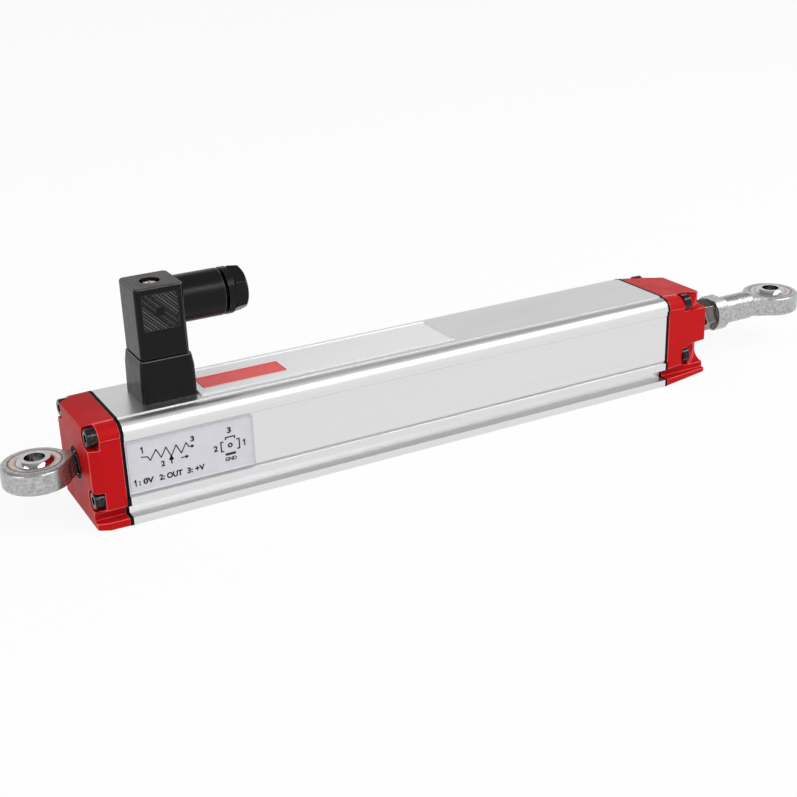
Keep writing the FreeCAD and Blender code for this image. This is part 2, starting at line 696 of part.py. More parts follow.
def fixed_rod_end():
    """Male rod end: head, tapering neck and threaded shank."""
    shank = round_x(FIXED_NECK_LENGTH - PAST, FIXED_LENGTH, THREAD_R)
    body = eye_head(0).fuse(eye_neck(FIXED_NECK_LENGTH, FIXED_NECK_R)).fuse(shank)
    return body.cut(eye_hole(0)).removeSplitter()


def rod_end_housing():
    """Female rod end: head, round shank and a collar with two wrench flats."""
    flat = COLLAR_FLATS / 2
    far = COLLAR_R + PAST
    collar_x = ROD_END_LENGTH - COLLAR_LENGTH
    shank_x = ROD_END_LENGTH - SHANK_LENGTH
    collar = round_x(collar_x, ROD_END_LENGTH, COLLAR_R)
    collar = collar.common(block(collar_x - PAST, ROD_END_LENGTH + PAST, -far, far, -flat, flat))
    body = round_x(shank_x, ROD_END_LENGTH, ROD_END_SHANK_R).fuse(collar)
    body = body.fuse(cone_x(0, shank_x, HEAD_THICKNESS * SHANK_ROOT_SHARE, ROD_END_SHANK_R))
    body = body.fuse(eye_head(0)).fuse(eye_neck(shank_x, ROD_END_SHANK_R * SHANK_NECK_SHARE))
    body = body.cut(eye_hole(0))
    socket = round_x(ROD_END_LENGTH - SOCKET_DEPTH, ROD_END_LENGTH + PAST, THREAD_R + THREAD_FIT)
    body = body.cut(socket).removeSplitter()
    body.rotate(Vector(0, 0, 0), Vector(0, 0, 1), 180)
    body.translate(Vector(EYE_DISTANCE, 0, 0))
    return body


def rod_jam_nut():
    x1 = JOINT_FACE_X
    return hex_nut(x1 - NUT_HEIGHT, x1, NUT_FLATS, THREAD_R + THREAD_FIT, NUT_CHAMFER, JAM_NUT_TURN)


def fixed_nut():
    """Lock nut of the fixed rod end, inside the profile."""
    x0 = REAR_CAP_X
    return hex_nut(x0, x0 + NUT_HEIGHT, NUT_FLATS, THREAD_R + THREAD_FIT, NUT_CHAMFER)


def fixed_insert():
    """Threaded bush moulded into the rear cap."""
    return ring_x(CAP_FACE_X + RECESS_DEPTH, REAR_CAP_X, INSERT_R, THREAD_R + THREAD_FIT)


def rounded_wire(z, long_x, long_y, r):
    """Rectangle with round corners at height z, centred on the connector."""
    plate = Part.makePlane(long_x, long_y, Vector(CONNECTOR_CENTRE_X - long_x / 2, -long_y / 2, z))
    prism = plate.extrude(Vector(0, 0, 1))
    upright = [edge for edge in prism.Edges if abs(edge.tangentAt(edge.FirstParameter).z) > 0.9]
    prism = prism.makeFillet(r, upright)
    for face in prism.Faces:
        if abs(face.CenterOfMass.z - z) < 1e-6:
            return face.OuterWire


def rounded_block(z0, z1, long_x, long_y, r):
    return Part.Face(rounded_wire(z0, long_x, long_y, r)).extrude(Vector(0, 0, z1 - z0))


def connector_base():
    """Square socket that stands on the profile, with a hollow underneath for the wires."""
    wall_z = BASE_Z + BASE_WALL_HEIGHT
    lower = Part.makeLoft([
        rounded_wire(BASE_Z, BASE_SIDE, BASE_SIDE, CORNER_R),
        rounded_wire(wall_z, BASE_TOP_SIDE, BASE_TOP_SIDE, CORNER_R),
    ], True, True)
    upper = Part.makeLoft([
        rounded_wire(wall_z, BASE_TOP_SIDE, BASE_TOP_SIDE, CORNER_R),
        rounded_wire(PLUG_Z, PLUG_LENGTH_X, PLUG_LENGTH_Y - BASE_TOP_TRIM, CORNER_R),
    ], True, True)
    body = lower.fuse(upper)
    floor = BASE_Z + BASE_FLOOR
    body = body.cut(rounded_block(floor, PLUG_Z + PAST, SOCKET_SIDE, SOCKET_SIDE, SOCKET_CORNER_R))
    body = body.cut(round_z(BASE_Z - PAST, BASE_Z + BASE_HOLLOW, WIRE_HOLE_R, CONNECTOR_CENTRE_X))
    for x, y in base_screw_places():
        body = body.cut(round_z(BASE_Z - PAST, BASE_Z + BASE_FLOOR + PAST, BASE_SCREW_R + SCREW_FIT, x, y))
    for x, y, along_x in pin_places():
        body = body.cut(pin(x, y, along_x))
    body = body.cut(round_z(BASE_Z + BASE_HOLLOW, PLUG_Z, PLUG_SCREW_R + SCREW_FIT, CONNECTOR_CENTRE_X))
    return body.removeSplitter()


def pin_places():
    """Three contacts and the earth contact round the centre screw, with their long sides."""
    x = CONNECTOR_CENTRE_X
    return (
        (x + PIN_REACH, 0, False),
        (x - PIN_REACH, 0, False),
        (x, PIN_REACH, True),
        (x, -PIN_REACH, True),
    )


def pin(x, y, along_x):
    dx = PIN_LENGTH / 2 if along_x else PIN_WIDTH / 2
    dy = PIN_WIDTH / 2 if along_x else PIN_LENGTH / 2
    z0 = BASE_Z + BASE_HOLLOW
    return block(x - dx, x + dx, y - dy, y + dy, z0, z0 + PIN_HEIGHT)


def base_screw_places():
    """X and Y of the two socket screws, on a diagonal of the socket."""
    x = CONNECTOR_CENTRE_X
    return ((x - BASE_SCREW_REACH, -BASE_SCREW_REACH), (x + BASE_SCREW_REACH, BASE_SCREW_REACH))


def base_screws():
    """Two pan head screws that hold the socket to the profile's top wall."""
    screws = []
    seat = BASE_Z + BASE_FLOOR
    for x, y in base_screw_places():
        shank = round_z(height(CEILING_H) - BASE_SCREW_TIP, seat, BASE_SCREW_R, x, y)
        head = round_z(seat, seat + BASE_SCREW_HEAD, BASE_SCREW_HEAD_R, x, y)
        screws.append(shank.fuse(head).removeSplitter())
    return screws


def plug_body_prism():
    """Outer block of the plug with eased top edges."""
    body = rounded_block(PLUG_Z + PLUG_GASKET, PLUG_TOP_Z, PLUG_LENGTH_X, PLUG_LENGTH_Y, CORNER_R)
    rim = [edge for edge in body.Edges if abs(edge.CenterOfMass.z - PLUG_TOP_Z) < 1e-6]
    return body.makeFillet(PLUG_EDGE, rim)


def grip_panel(face_y):
    """Recess with slanting ribs and a small square, as cut from one broad side of the plug."""
    out = math.copysign(1, face_y)
    y_in = face_y - out * PANEL_DEPTH
    y0, y1 = sorted((y_in, face_y + out))
    half = PANEL_SIDE / 2
    centre_z = PLUG_TOP_Z - PANEL_TOP_MARGIN - half
    x = CONNECTOR_CENTRE_X
    recess = block(x - half, x + half, y0, y1, centre_z - half, centre_z + half)
    pitch = PANEL_SIDE * math.sqrt(2) / (PANEL_RIBS + 1)
    rib_top = face_y - out * PANEL_RIB_DROP
    rib_y = sorted((y_in - out, rib_top))
    reach = PANEL_SIDE
    ribs = []
    for number in range(PANEL_RIBS):
        offset = (number - (PANEL_RIBS - 1) / 2) * pitch
        rib_z = offset - PANEL_RIB_WIDTH / 2
        rib = block(-reach, reach, rib_y[0], rib_y[1], rib_z, rib_z + PANEL_RIB_WIDTH)
        rib.rotate(Vector(0, 0, 0), Vector(0, 1, 0), 45)
        rib.translate(Vector(x, 0, centre_z))
        ribs.append(rib)
    boss = PANEL_BOSS / 2
    square = block(x - boss, x + boss, rib_y[0], rib_y[1], centre_z - boss, centre_z + boss)
    return recess.cut(Part.makeCompound(ribs)).cut(square)


def plug_housing():
    """Right-angled plug housing: square body, cable barrel, screw recess and grip panels."""
    x = CONNECTOR_CENTRE_X
    body = plug_body_prism()
    barrel = round_x(x, GLAND_END_X - GLAND_CHAMFER, GLAND_R, 0, GLAND_Z)
    nose = Part.makeCone(GLAND_R, GLAND_R - GLAND_CHAMFER, GLAND_CHAMFER,
                         Vector(GLAND_END_X - GLAND_CHAMFER, 0, GLAND_Z), Vector(1, 0, 0))
    body = body.fuse(barrel).fuse(nose)
    hollow_x = PLUG_LENGTH_X - 2 * PLUG_WALL
    hollow_y = PLUG_LENGTH_Y - 2 * PLUG_WALL
    roof = PLUG_TOP_Z - PLUG_ROOF
    body = body.cut(rounded_block(PLUG_Z, roof, hollow_x, hollow_y, SOCKET_CORNER_R))
    narrow_x = x + hollow_x / 2 - GLAND_NARROW_START
    body = body.cut(round_x(narrow_x, GLAND_END_X + PAST, GLAND_NARROW_R, 0, GLAND_Z))
    seal_x = GLAND_SEAL_END_X - GLAND_SEAL_LENGTH
    body = body.cut(round_x(seal_x, GLAND_END_X + PAST, GLAND_BORE_R, 0, GLAND_Z))
    body = body.cut(round_z(PLUG_TOP_Z - PLUG_SCREW_RECESS, PLUG_TOP_Z + PAST, PLUG_SCREW_RECESS_R, x))
    body = body.cut(round_z(PLUG_Z, PLUG_TOP_Z, PLUG_SCREW_R + PLUG_SCREW_FIT, x))
    for face_y in (-PLUG_LENGTH_Y / 2, PLUG_LENGTH_Y / 2):
        body = body.cut(grip_panel(face_y))
    return body.removeSplitter()


def plug_gasket():
    """Flat seal between the socket and the plug."""
    z1 = PLUG_Z + PLUG_GASKET
    long_x = PLUG_LENGTH_X - PLUG_GASKET_TRIM
    long_y = PLUG_LENGTH_Y - PLUG_GASKET_TRIM
    window = SOCKET_SIDE - PLUG_GASKET_TRIM
    seal = rounded_block(PLUG_Z, z1, long_x, long_y, CORNER_R)
    return seal.cut(rounded_block(PLUG_Z - PAST, z1 + PAST, window, window, SOCKET_CORNER_R))


def plug_insert():
    """Contact carrier inside the plug, reaching down over the pins."""
    z0 = PLUG_Z - INSERT_DROP
    z1 = PLUG_Z + INSERT_RISE
    body = rounded_block(z0, z1, INSERT_SIDE, INSERT_SIDE, INSERT_CORNER_R)
    for x, y, along_x in pin_places():
        body = body.cut(pin(x, y, along_x))
    return body.cut(round_z(z0 - PAST, z1 + PAST, PLUG_SCREW_R + PLUG_SCREW_FIT, CONNECTOR_CENTRE_X))


def plug_screw():
    """Long cross-slotted screw through the plug into the socket."""
    x = CONNECTOR_CENTRE_X
    seat = PLUG_TOP_Z - PLUG_SCREW_RECESS
    head = round_z(seat, seat + PLUG_SCREW_HEAD_HEIGHT, PLUG_SCREW_HEAD_R, x)
    rim = [edge for edge in head.Edges if abs(edge.CenterOfMass.z - seat - PLUG_SCREW_HEAD_HEIGHT) < 1e-6]
    head = head.makeFillet(PLUG_SCREW_HEAD_HEIGHT / 2, rim)
    half = PLUG_SCREW_SLOT / 2
    slot_reach = PLUG_SCREW_HEAD_R / 2
    top = seat + PLUG_SCREW_HEAD_HEIGHT
    floor = top - PLUG_SCREW_HEAD_HEIGHT / 2
    head = head.cut(block(x - PLUG_SCREW_HEAD_R, x + PLUG_SCREW_HEAD_R, -half, half, floor, top + PAST))
    head = head.cut(block(x - half, x + half, -slot_reach, slot_reach, floor, top + PAST))
    shank = round_z(BASE_Z + BASE_HOLLOW + PLUG_SCREW_TIP, seat, PLUG_SCREW_R, x)
    return head.fuse(shank).removeSplitter()


def gland_seal():
    """Rubber sleeve that grips the cable."""
    x1 = GLAND_SEAL_END_X
    return ring_x(x1 - GLAND_SEAL_LENGTH, x1, GLAND_BORE_R - GLAND_SPIGOT_FIT, CABLE_R, 0, GLAND_Z)


def gland_washer():
    x1 = GLAND_END_X - GLAND_SPIGOT
    return ring_x(GLAND_SEAL_END_X, x1, GLAND_BORE_R - GLAND_SPIGOT_FIT, NUT_BORE_R, 0, GLAND_Z)


def gland_nut():
    """Pressure nut: a round collar, a groove, a hexagon and a spigot inside the barrel."""
    x0 = GLAND_END_X
    ring_end = x0 + GLAND_RING
    hex_start = ring_end + GLAND_GROOVE
    x1 = hex_start + GLAND_HEX_LENGTH
    body = round_x(x0 - GLAND_SPIGOT, hex_start, GLAND_BORE_R - GLAND_SPIGOT_FIT, 0, GLAND_Z)
    body = body.fuse(round_x(x0 + GLAND_GROOVE, ring_end, GLAND_R, 0, GLAND_Z))
    corner = GLAND_HEX_FLATS / 2 * HEX_TO_CORNER - GLAND_HEX_CORNER_TRIM
    face = GLAND_HEX_FLATS / 2 - GLAND_HEX_FACE_TRIM
    grip = hexagon_x(hex_start, x1, GLAND_HEX_FLATS, 0, GLAND_Z, GLAND_HEX_TURN)
    edge_x = x1 - GLAND_CHAMFER
    turned = round_x(hex_start, edge_x, corner, 0, GLAND_Z)
    axis = Vector(1, 0, 0)
    turned = turned.fuse(Part.makeCone(corner, face, GLAND_CHAMFER, Vector(edge_x, 0, GLAND_Z), axis))
    body = body.fuse(grip.common(turned))
    return body.cut(round_x(x0 - GLAND_SPIGOT - PAST, x1 + PAST, NUT_BORE_R, 0, GLAND_Z)).removeSplitter()


def lead_wires():
    """Three wires from the board up to the socket, each with a slight bow."""
    wires = []
    z0 = height(BOARD_TOP)
    z1 = BASE_Z + BASE_HOLLOW
    middle = (z0 + z1) / 2
    for number in (-1, 0, 1):
        y = number * WIRE_PITCH
        x = CONNECTOR_CENTRE_X - (WIRE_BACK if number == 0 else 0)
        arc = Part.Arc(Vector(x, y, z0), Vector(x + WIRE_BOW, y, middle), Vector(x, y, z1))
        path = Part.Wire(arc.toShape())
        start = path.Edges[0]
        direction = start.tangentAt(start.FirstParameter)
        circle = Part.Circle(Vector(x, y, z0), direction, WIRE_R)
        wire = path.makePipeShell([Part.Wire(circle.toShape())], True, True)
        between = block(x - WIRE_PITCH, x + WIRE_PITCH, y - WIRE_PITCH, y + WIRE_PITCH, z0, z1)
        wires.append(wire.common(between).Solids[0])
    return wires


def build():
    os.makedirs("parts", exist_ok=True)
    save("profile_tube", profile_tube())
    save("rear_gasket", gasket(REAR_CAP_X))
    save("front_gasket", gasket(PROFILE_END_X))
    save("rear_cap", rear_cap())
    save("front_cap", front_cap())
    save("rear_cap_screws", *cap_screws(REAR_CAP_X, -1, REAR_SEAT))
    save("front_cap_screws", *cap_screws(FRONT_CAP_X, 1, FRONT_SEAT))
    save("rod_bushing", rod_bushing())
    save("rod_o_ring", rod_o_ring())
    save("rod_wiper_seal", rod_wiper_seal())
    save("front_bumper", front_bumper())
    save("rear_bumper", rear_bumper())
    save("track_board", track_board())
    save("resistive_track", track(-1))
    save("collector_track", track(1))
    save("lead_wires", *lead_wires())
    save("wiper_carriage", wiper_carriage())
    save("wiper_springs", *wiper_springs())
    save("push_rod", push_rod())
    save("rod_clips", *rod_clips())
    save("rod_jam_nut", rod_jam_nut())
    save("rod_end_housing", rod_end_housing())
    save("rod_end_race", race(EYE_DISTANCE))
    save("rod_end_ball", bearing_ball(EYE_DISTANCE))
    save("fixed_rod_end", fixed_rod_end())
    save("fixed_race", race(0))
    save("fixed_ball", bearing_ball(0))
    save("fixed_nut", fixed_nut())
    save("fixed_insert", fixed_insert())
    save("connector_base", connector_base())
    save("base_screws", *base_screws())
    for number, place in enumerate(pin_places()):
        save("contact_pin_" + str(number + 1), pin(*place))
    save("plug_gasket", plug_gasket())
    save("plug_insert", plug_insert())
    save("plug_housing", plug_housing())
    save("plug_screw", plug_screw())
    save("gland_seal", gland_seal())
    save("gland_washer", gland_washer())
    save("gland_nut", gland_nut())


build()
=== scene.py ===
import bpy
import math
from mathutils import Matrix, Vector


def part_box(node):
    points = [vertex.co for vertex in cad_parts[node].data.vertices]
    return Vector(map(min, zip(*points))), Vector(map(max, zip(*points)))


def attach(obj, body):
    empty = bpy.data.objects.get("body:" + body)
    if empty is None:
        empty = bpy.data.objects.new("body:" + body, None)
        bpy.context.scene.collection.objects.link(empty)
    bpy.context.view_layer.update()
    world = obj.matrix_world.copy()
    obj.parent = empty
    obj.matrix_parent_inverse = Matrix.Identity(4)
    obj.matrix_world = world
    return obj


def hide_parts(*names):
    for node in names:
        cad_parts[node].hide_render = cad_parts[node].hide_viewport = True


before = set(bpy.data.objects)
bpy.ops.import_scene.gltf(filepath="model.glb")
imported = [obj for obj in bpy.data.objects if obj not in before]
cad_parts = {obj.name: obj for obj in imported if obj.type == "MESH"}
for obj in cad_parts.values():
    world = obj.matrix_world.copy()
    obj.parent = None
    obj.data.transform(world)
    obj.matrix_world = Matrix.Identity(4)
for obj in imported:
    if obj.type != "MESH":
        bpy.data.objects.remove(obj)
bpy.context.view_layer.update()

# Studio: a white floor under the sensor, one large soft lamp overhead and two weaker ones at the sides.
# The camera stands beside the rear end, a little above the sensor, and looks along it.
EYE_POINT = Vector((-0.07096, -0.35173, 0.16119))
VIEW_RIGHT = Vector((0.8751555, -0.48287145, -0.03062696))
VIEW_UP = Vector((0.20988537, 0.32183795, 0.92323803))
LENS = 60.31
FLOOR_GAP = 0.0002
FLOOR_SIDE = 8.0
FLOOR_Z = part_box("profile_tube")[0].z - FLOOR_GAP

bpy.ops.object.select_all(action="DESELECT")
camera_data = bpy.data.cameras.new("camera")
camera = bpy.data.objects.new("camera", camera_data)
bpy.context.collection.objects.link(camera)
camera_data.lens = LENS
camera_data.sensor_width = 36.0
camera_data.clip_start = 0.01
view_turn = Matrix((VIEW_RIGHT, VIEW_UP, VIEW_RIGHT.cross(VIEW_UP))).transposed()
camera.matrix_world = Matrix.Translation(EYE_POINT) @ view_turn.to_4x4()
bpy.context.scene.camera = camera
bpy.context.scene.view_settings.view_transform = "Standard"


def area_lamp(name, place, target, wide, deep, power):
    lamp_data = bpy.data.lights.new(name, "AREA")
    lamp_data.shape = "RECTANGLE"
    lamp_data.size = wide
    lamp_data.size_y = deep
    lamp_data.energy = power
    lamp = bpy.data.objects.new(name, lamp_data)
    bpy.context.collection.objects.link(lamp)
    away = (Vector(place) - Vector(target)).normalized()
    lamp.rotation_euler = away.to_track_quat("Z", "Y").to_euler()
    lamp.location = place


area_lamp("lamp_strip", place=(0.55, -0.66, 0.80), target=(0.12, 0, 0), wide=1.1, deep=0.30, power=6.4)
area_lamp("lamp_left", place=(-1.05, -0.28, 0.55), target=(0.0, 0, 0), wide=0.6, deep=0.6, power=2.7)
area_lamp("lamp_right", place=(1.1, -0.3, 0.8), target=(0.15, 0, 0), wide=0.5, deep=0.5, power=1.4)


def add_node(tree, kind, values=(), **settings):
    made = tree.nodes.new(kind)
    for key, value in settings.items():
        setattr(made, key, value)
    for key, value in dict(values).items():
        made.inputs[key].default_value = value
    return made


def join(tree, source, output, target, socket):
    tree.links.new(source.outputs[output], target.inputs[socket])


def mirror_rays(tree, path):
    """One for a ray that comes off a shiny or through a clear surface, else nought."""
    mirrored = add_node(tree, "ShaderNodeMath", operation="MAXIMUM")
    join(tree, path, "Is Glossy Ray", mirrored, 0)
    join(tree, path, "Is Transmission Ray", mirrored, 1)
    return mirrored


# Studio walls: plain white in the picture, and white low down in what metal mirrors.
# The ceiling above has lighter and darker bands, so that polished steel has something dark to mirror.
# Heights go from 0 at the horizon to 1 straight overhead.
WALL_TOP = 0.24
SKY_STRENGTH = 0.62
CEILING_ENDS = ((0, 0.0, 0.75), (1, 1.0, 1.3))
CEILING_BANDS = ((0.15, 0.8), (0.3, 1.5), (0.45, 1.5), (0.56, 0.45), (0.8, 0.6))
world = bpy.data.worlds.new("studio")
bpy.context.scene.world = world
world.use_nodes = True
room = world.node_tree
soft_sky = room.nodes["Background"]
soft_sky.inputs["Strength"].default_value = SKY_STRENGTH
white_sky = add_node(room, "ShaderNodeBackground", {"Color": (1, 1, 1, 1), "Strength": 1.0})
sky_place = add_node(room, "ShaderNodeTexCoord")
sky_parts = add_node(room, "ShaderNodeSeparateXYZ")
sky_bands = add_node(room, "ShaderNodeValToRGB")
for number, height, level in CEILING_ENDS:
    sky_bands.color_ramp.elements[number].position = height
    sky_bands.color_ramp.elements[number].color = (level, level, level, 1)
for height, level in CEILING_BANDS:
    band = sky_bands.color_ramp.elements.new(height)
    band.color = (level, level, level, 1)
sky_mix = add_node(room, "ShaderNodeMixShader")
sky_path = add_node(room, "ShaderNodeLightPath")
join(room, sky_place, "Generated", sky_parts, 0)
join(room, sky_parts, "Z", sky_bands, "Fac")
join(room, sky_bands, "Color", soft_sky, "Color")
low_wall = add_node(room, "ShaderNodeMath", {1: WALL_TOP}, operation="LESS_THAN")
wall_mirrored = add_node(room, "ShaderNodeMath", operation="MULTIPLY")
seen_white = add_node(room, "ShaderNodeMath", operation="MAXIMUM")
join(room, sky_parts, "Z", low_wall, 0)
join(room, mirror_rays(room, sky_path), 0, wall_mirrored, 0)
join(room, low_wall, 0, wall_mirrored, 1)
join(room, sky_path, "Is Camera Ray", seen_white, 0)
join(room, wall_mirrored, 0, seen_white, 1)
join(room, seen_white, 0, sky_mix, 0)
join(room, soft_sky, 0, sky_mix, 1)
join(room, white_sky, 0, sky_mix, 2)
join(room, sky_mix, 0, room.nodes["World Output"], "Surface")

# Studio floor: matt paper that also glows for the camera and in mirrors.
# So it stays white at the back, and the sensor still throws a faint shadow on it.
PAPER_GLOW_SHARE = 0.9
bpy.ops.mesh.primitive_plane_add(size=FLOOR_SIDE, location=(0, 0, FLOOR_Z))
bpy.ops.object.transform_apply()
floor = bpy.context.object
floor.name = "floor"
paper = bpy.data.materials.new("floor_paper")
paper.use_nodes = True
sheet = paper.node_tree
paper_shader = sheet.nodes["Principled BSDF"]
paper_shader.inputs["Base Color"].default_value = (0.9, 0.9, 0.9, 1)
paper_shader.inputs["Roughness"].default_value = 1.0
paper_glow = add_node(sheet, "ShaderNodeEmission", {"Color": (1, 1, 1, 1), "Strength": 1.0})
paper_mix = add_node(sheet, "ShaderNodeMixShader")
paper_path = add_node(sheet, "ShaderNodeLightPath")
paper_seen = add_node(sheet, "ShaderNodeMath", operation="MAXIMUM")
paper_share = add_node(sheet, "ShaderNodeMath", {1: PAPER_GLOW_SHARE}, operation="MULTIPLY")
join(sheet, paper_path, "Is Camera Ray", paper_seen, 0)
join(sheet, mirror_rays(sheet, paper_path), 0, paper_seen, 1)
join(sheet, paper_seen, 0, paper_share, 0)
join(sheet, paper_share, 0, paper_mix, 0)
join(sheet, paper_shader, 0, paper_mix, 1)
join(sheet, paper_glow, 0, paper_mix, 2)
join(sheet, paper_mix, 0, sheet.nodes["Material Output"], "Surface")
floor.data.materials.append(paper)


# Profile: one extruded aluminium section with clamp grooves along both lower edges.
# It is cut to length and clear anodised, which leaves a satin surface with faint lines along it.
def new_finish(name, roughness, metallic, specular=0.5):
    """A node material that its section fills with patterns."""
    finish = bpy.data.materials.new(name)
    finish.use_nodes = True
    shader = finish.node_tree.nodes["Principled BSDF"]
    shader.inputs["Roughness"].default_value = roughness
    shader.inputs["Metallic"].default_value = metallic
    shader.inputs["Specular IOR Level"].default_value = specular
    return finish.node_tree, shader, finish


def grain(tree, sizes, detail=3.0):
    """Cloudy pattern whose patches have these sizes in metres along X, Y and Z."""
    place = add_node(tree, "ShaderNodeTexCoord")
    stretched = add_node(tree, "ShaderNodeMapping", {"Scale": sizes}, vector_type="TEXTURE")
    cloud = add_node(tree, "ShaderNodeTexNoise", {"Scale": 1.0, "Detail": detail, "Roughness": 0.6})
    join(tree, place, "Object", stretched, 0)
    join(tree, stretched, 0, cloud, "Vector")
    return cloud


def tint(tree, shader, pattern, dark, light, start=0.35, end=0.65):
    """Colours the surface from dark to light by the pattern."""
    ramp = add_node(tree, "ShaderNodeValToRGB")
    ramp.color_ramp.elements[0].position = start
    ramp.color_ramp.elements[0].color = dark + (1,)
    ramp.color_ramp.elements[1].position = end
    ramp.color_ramp.elements[1].color = light + (1,)
    join(tree, pattern, 0, ramp, "Fac")
    join(tree, ramp, "Color", shader, "Base Color")
    return ramp


def vary_roughness(tree, shader, pattern, low, high):
    """Roughness between these two, where the pattern goes from 0.3 to 0.7."""
    span = add_node(tree, "ShaderNodeMapRange", {1: 0.3, 2: 0.7, 3: low, 4: high})
    join(tree, pattern, 0, span, 0)
    join(tree, span, 0, shader, "Roughness")


def raise_surface(tree, shader, pattern, depth, strength=1.0, below=None):
    """Bump of this depth in metres, on top of the one below where there is one."""
    bump = add_node(tree, "ShaderNodeBump", {"Strength": strength, "Distance": depth})
    join(tree, pattern, 0, bump, "Height")
    if below:
        join(tree, below, 0, bump, "Normal")
    join(tree, bump, 0, shader, "Normal")
    return bump


def dress(finish, *nodes):
    """Gives this finish to pieces that keep their shape."""
    for node in nodes:
        for material_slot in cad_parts[node].material_slots:
            material_slot.material = finish


tree, shader, anodised = new_finish("anodised_aluminium", 0.3, 1.0)
lines = grain(tree, (0.09, 0.0004, 0.0004), 4.0)
clouds = grain(tree, (0.05, 0.01, 0.01), 2.0)
tint(tree, shader, lines, (0.725, 0.725, 0.732), (0.75, 0.75, 0.755))
vary_roughness(tree, shader, clouds, 0.30, 0.36)
raise_surface(tree, shader, lines, 0.0000008, 0.35)
dress(anodised, "profile_tube")


# Track board: green glass-fibre laminate that slides into slots of the profile.
# It carries two printed strips, a carbon resistor and a collector, and three wires soldered at its end.
tree, shader, laminate = new_finish("board_laminate", 0.4, 0.0)
weave = grain(tree, (0.0012, 0.0004, 0.0012), 2.0)
tint(tree, shader, weave, (0.010, 0.075, 0.030), (0.020, 0.120, 0.050))
vary_roughness(tree, shader, weave, 0.32, 0.5)
raise_surface(tree, shader, weave, 0.00002, 0.5)
dress(laminate, "track_board")

tree, shader, carbon_film = new_finish("conductive_film", 0.35, 0.0)
print_grain = grain(tree, (0.004, 0.0003, 0.0003), 4.0)
tint(tree, shader, print_grain, (0.008, 0.008, 0.009), (0.022, 0.022, 0.024))
raise_surface(tree, shader, print_grain, 0.00001, 0.5)
dress(carbon_film, "resistive_track", "collector_track")

tree, shader, insulation = new_finish("wire_insulation", 0.42, 0.0)
wire_grain = grain(tree, (0.0006, 0.0006, 0.003))
tint(tree, shader, wire_grain, (0.30, 0.010, 0.008), (0.42, 0.018, 0.012))
raise_surface(tree, shader, wire_grain, 0.00001, 0.5)
dress(insulation, "lead_wires")


# Seals and bumpers: black rubber, moulded or cut from sheet.
# The two flat gaskets are squeezed between the profile and its caps and show as a thin black line.
tree, shader, rubber = new_finish("black_rubber", 0.65, 0.0, 0.12)
rubber_grain = grain(tree, (0.0005, 0.0005, 0.0005), 5.0)
tint(tree, shader, rubber_grain, (0.0015, 0.0015, 0.0015), (0.005, 0.005, 0.005))
vary_roughness(tree, shader, rubber_grain, 0.55, 0.8)
raise_surface(tree, shader, rubber_grain, 0.00003, 0.6)
dress(rubber, "rear_gasket", "front_gasket", "rod_o_ring", "rod_wiper_seal")
dress(rubber, "front_bumper", "rear_bumper", "plug_gasket", "gland_seal")


# End caps: red glass-filled plastic, injection moulded in a tool with a sparked texture.
# The sides run with the profile's outline, and each cap is held by four screws.
CAP_ROUNDING = 0.00017
MERGE_DISTANCE = 0.000002
FLAT_ANGLE = math.radians(1.0)
SHARP_ANGLE = math.radians(32)
SMOOTH_ANGLE = math.radians(35)
FACE_WEIGHT = 80

tree, shader, red_plastic = new_finish("red_moulding", 0.42, 0.0, 0.05)
spark = grain(tree, (0.0004, 0.0004, 0.0004), 4.0)
flow = grain(tree, (0.008, 0.006, 0.006))
tint(tree, shader, spark, (0.44, 0.0060, 0.0078), (0.54, 0.0088, 0.0110), 0.3, 0.7)
vary_roughness(tree, shader, flow, 0.34, 0.46)
fine = raise_surface(tree, shader, spark, 0.00004, 0.55)
raise_surface(tree, shader, flow, 0.00012, 0.25, fine)

# Painted highlight: the caps' rounded edges are a lighter, pinker red than the moulding.
tree, shader, red_edge_highlight = new_finish("red_edge_highlight", 0.3, 0.0)
red_highlight_grain = grain(tree, (0.003, 0.003, 0.003))
tint(tree, shader, red_highlight_grain, (0.66, 0.050, 0.055), (0.82, 0.110, 0.118))
vary_roughness(tree, shader, red_highlight_grain, 0.24, 0.4)


def select_only(piece):
    bpy.ops.object.select_all(action="DESELECT")
    piece.select_set(True)
    bpy.context.view_layer.objects.active = piece


def apply_modifier(piece, kind, **settings):
    select_only(piece)
    added = piece.modifiers.new(kind.lower(), kind)
    for key, value in settings.items():
        setattr(added, key, value)
    bpy.ops.object.modifier_apply(modifier=added.name)


def ease_edges(node, width, finish, edge_highlight, body, reshape=None, clamp=True):
    """Takes the place of a piece, with its sharp edges rounded and painted lighter as a highlight."""
    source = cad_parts[node]
    piece = source.copy()
    piece.data = source.data.copy()
    bpy.context.collection.objects.link(piece)
    piece.name = node + "_eased"
    select_only(piece)
    bpy.ops.object.mode_set(mode="EDIT")
    bpy.ops.mesh.select_all(action="SELECT")
    bpy.ops.mesh.remove_doubles(threshold=MERGE_DISTANCE)
    bpy.ops.mesh.dissolve_limited(angle_limit=FLAT_ANGLE)
    bpy.ops.object.mode_set(mode="OBJECT")
    piece.data.materials.clear()
    piece.data.materials.append(finish)
    piece.data.materials.append(edge_highlight)
    if reshape:
        reshape(piece)
    apply_modifier(piece, "BEVEL", width=width, segments=2, limit_method="ANGLE",
                   angle_limit=SHARP_ANGLE, material=1, use_clamp_overlap=clamp)
    bpy.ops.object.shade_smooth_by_angle(angle=SMOOTH_ANGLE)
    apply_modifier(piece, "WEIGHTED_NORMAL", keep_sharp=True, weight=FACE_WEIGHT)
    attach(piece, body)
    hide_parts(node)


ease_edges("rear_cap", CAP_ROUNDING, red_plastic, red_edge_highlight, "housing", clamp=False)
ease_edges("front_cap", CAP_ROUNDING, red_plastic, red_edge_highlight, "housing", clamp=False)


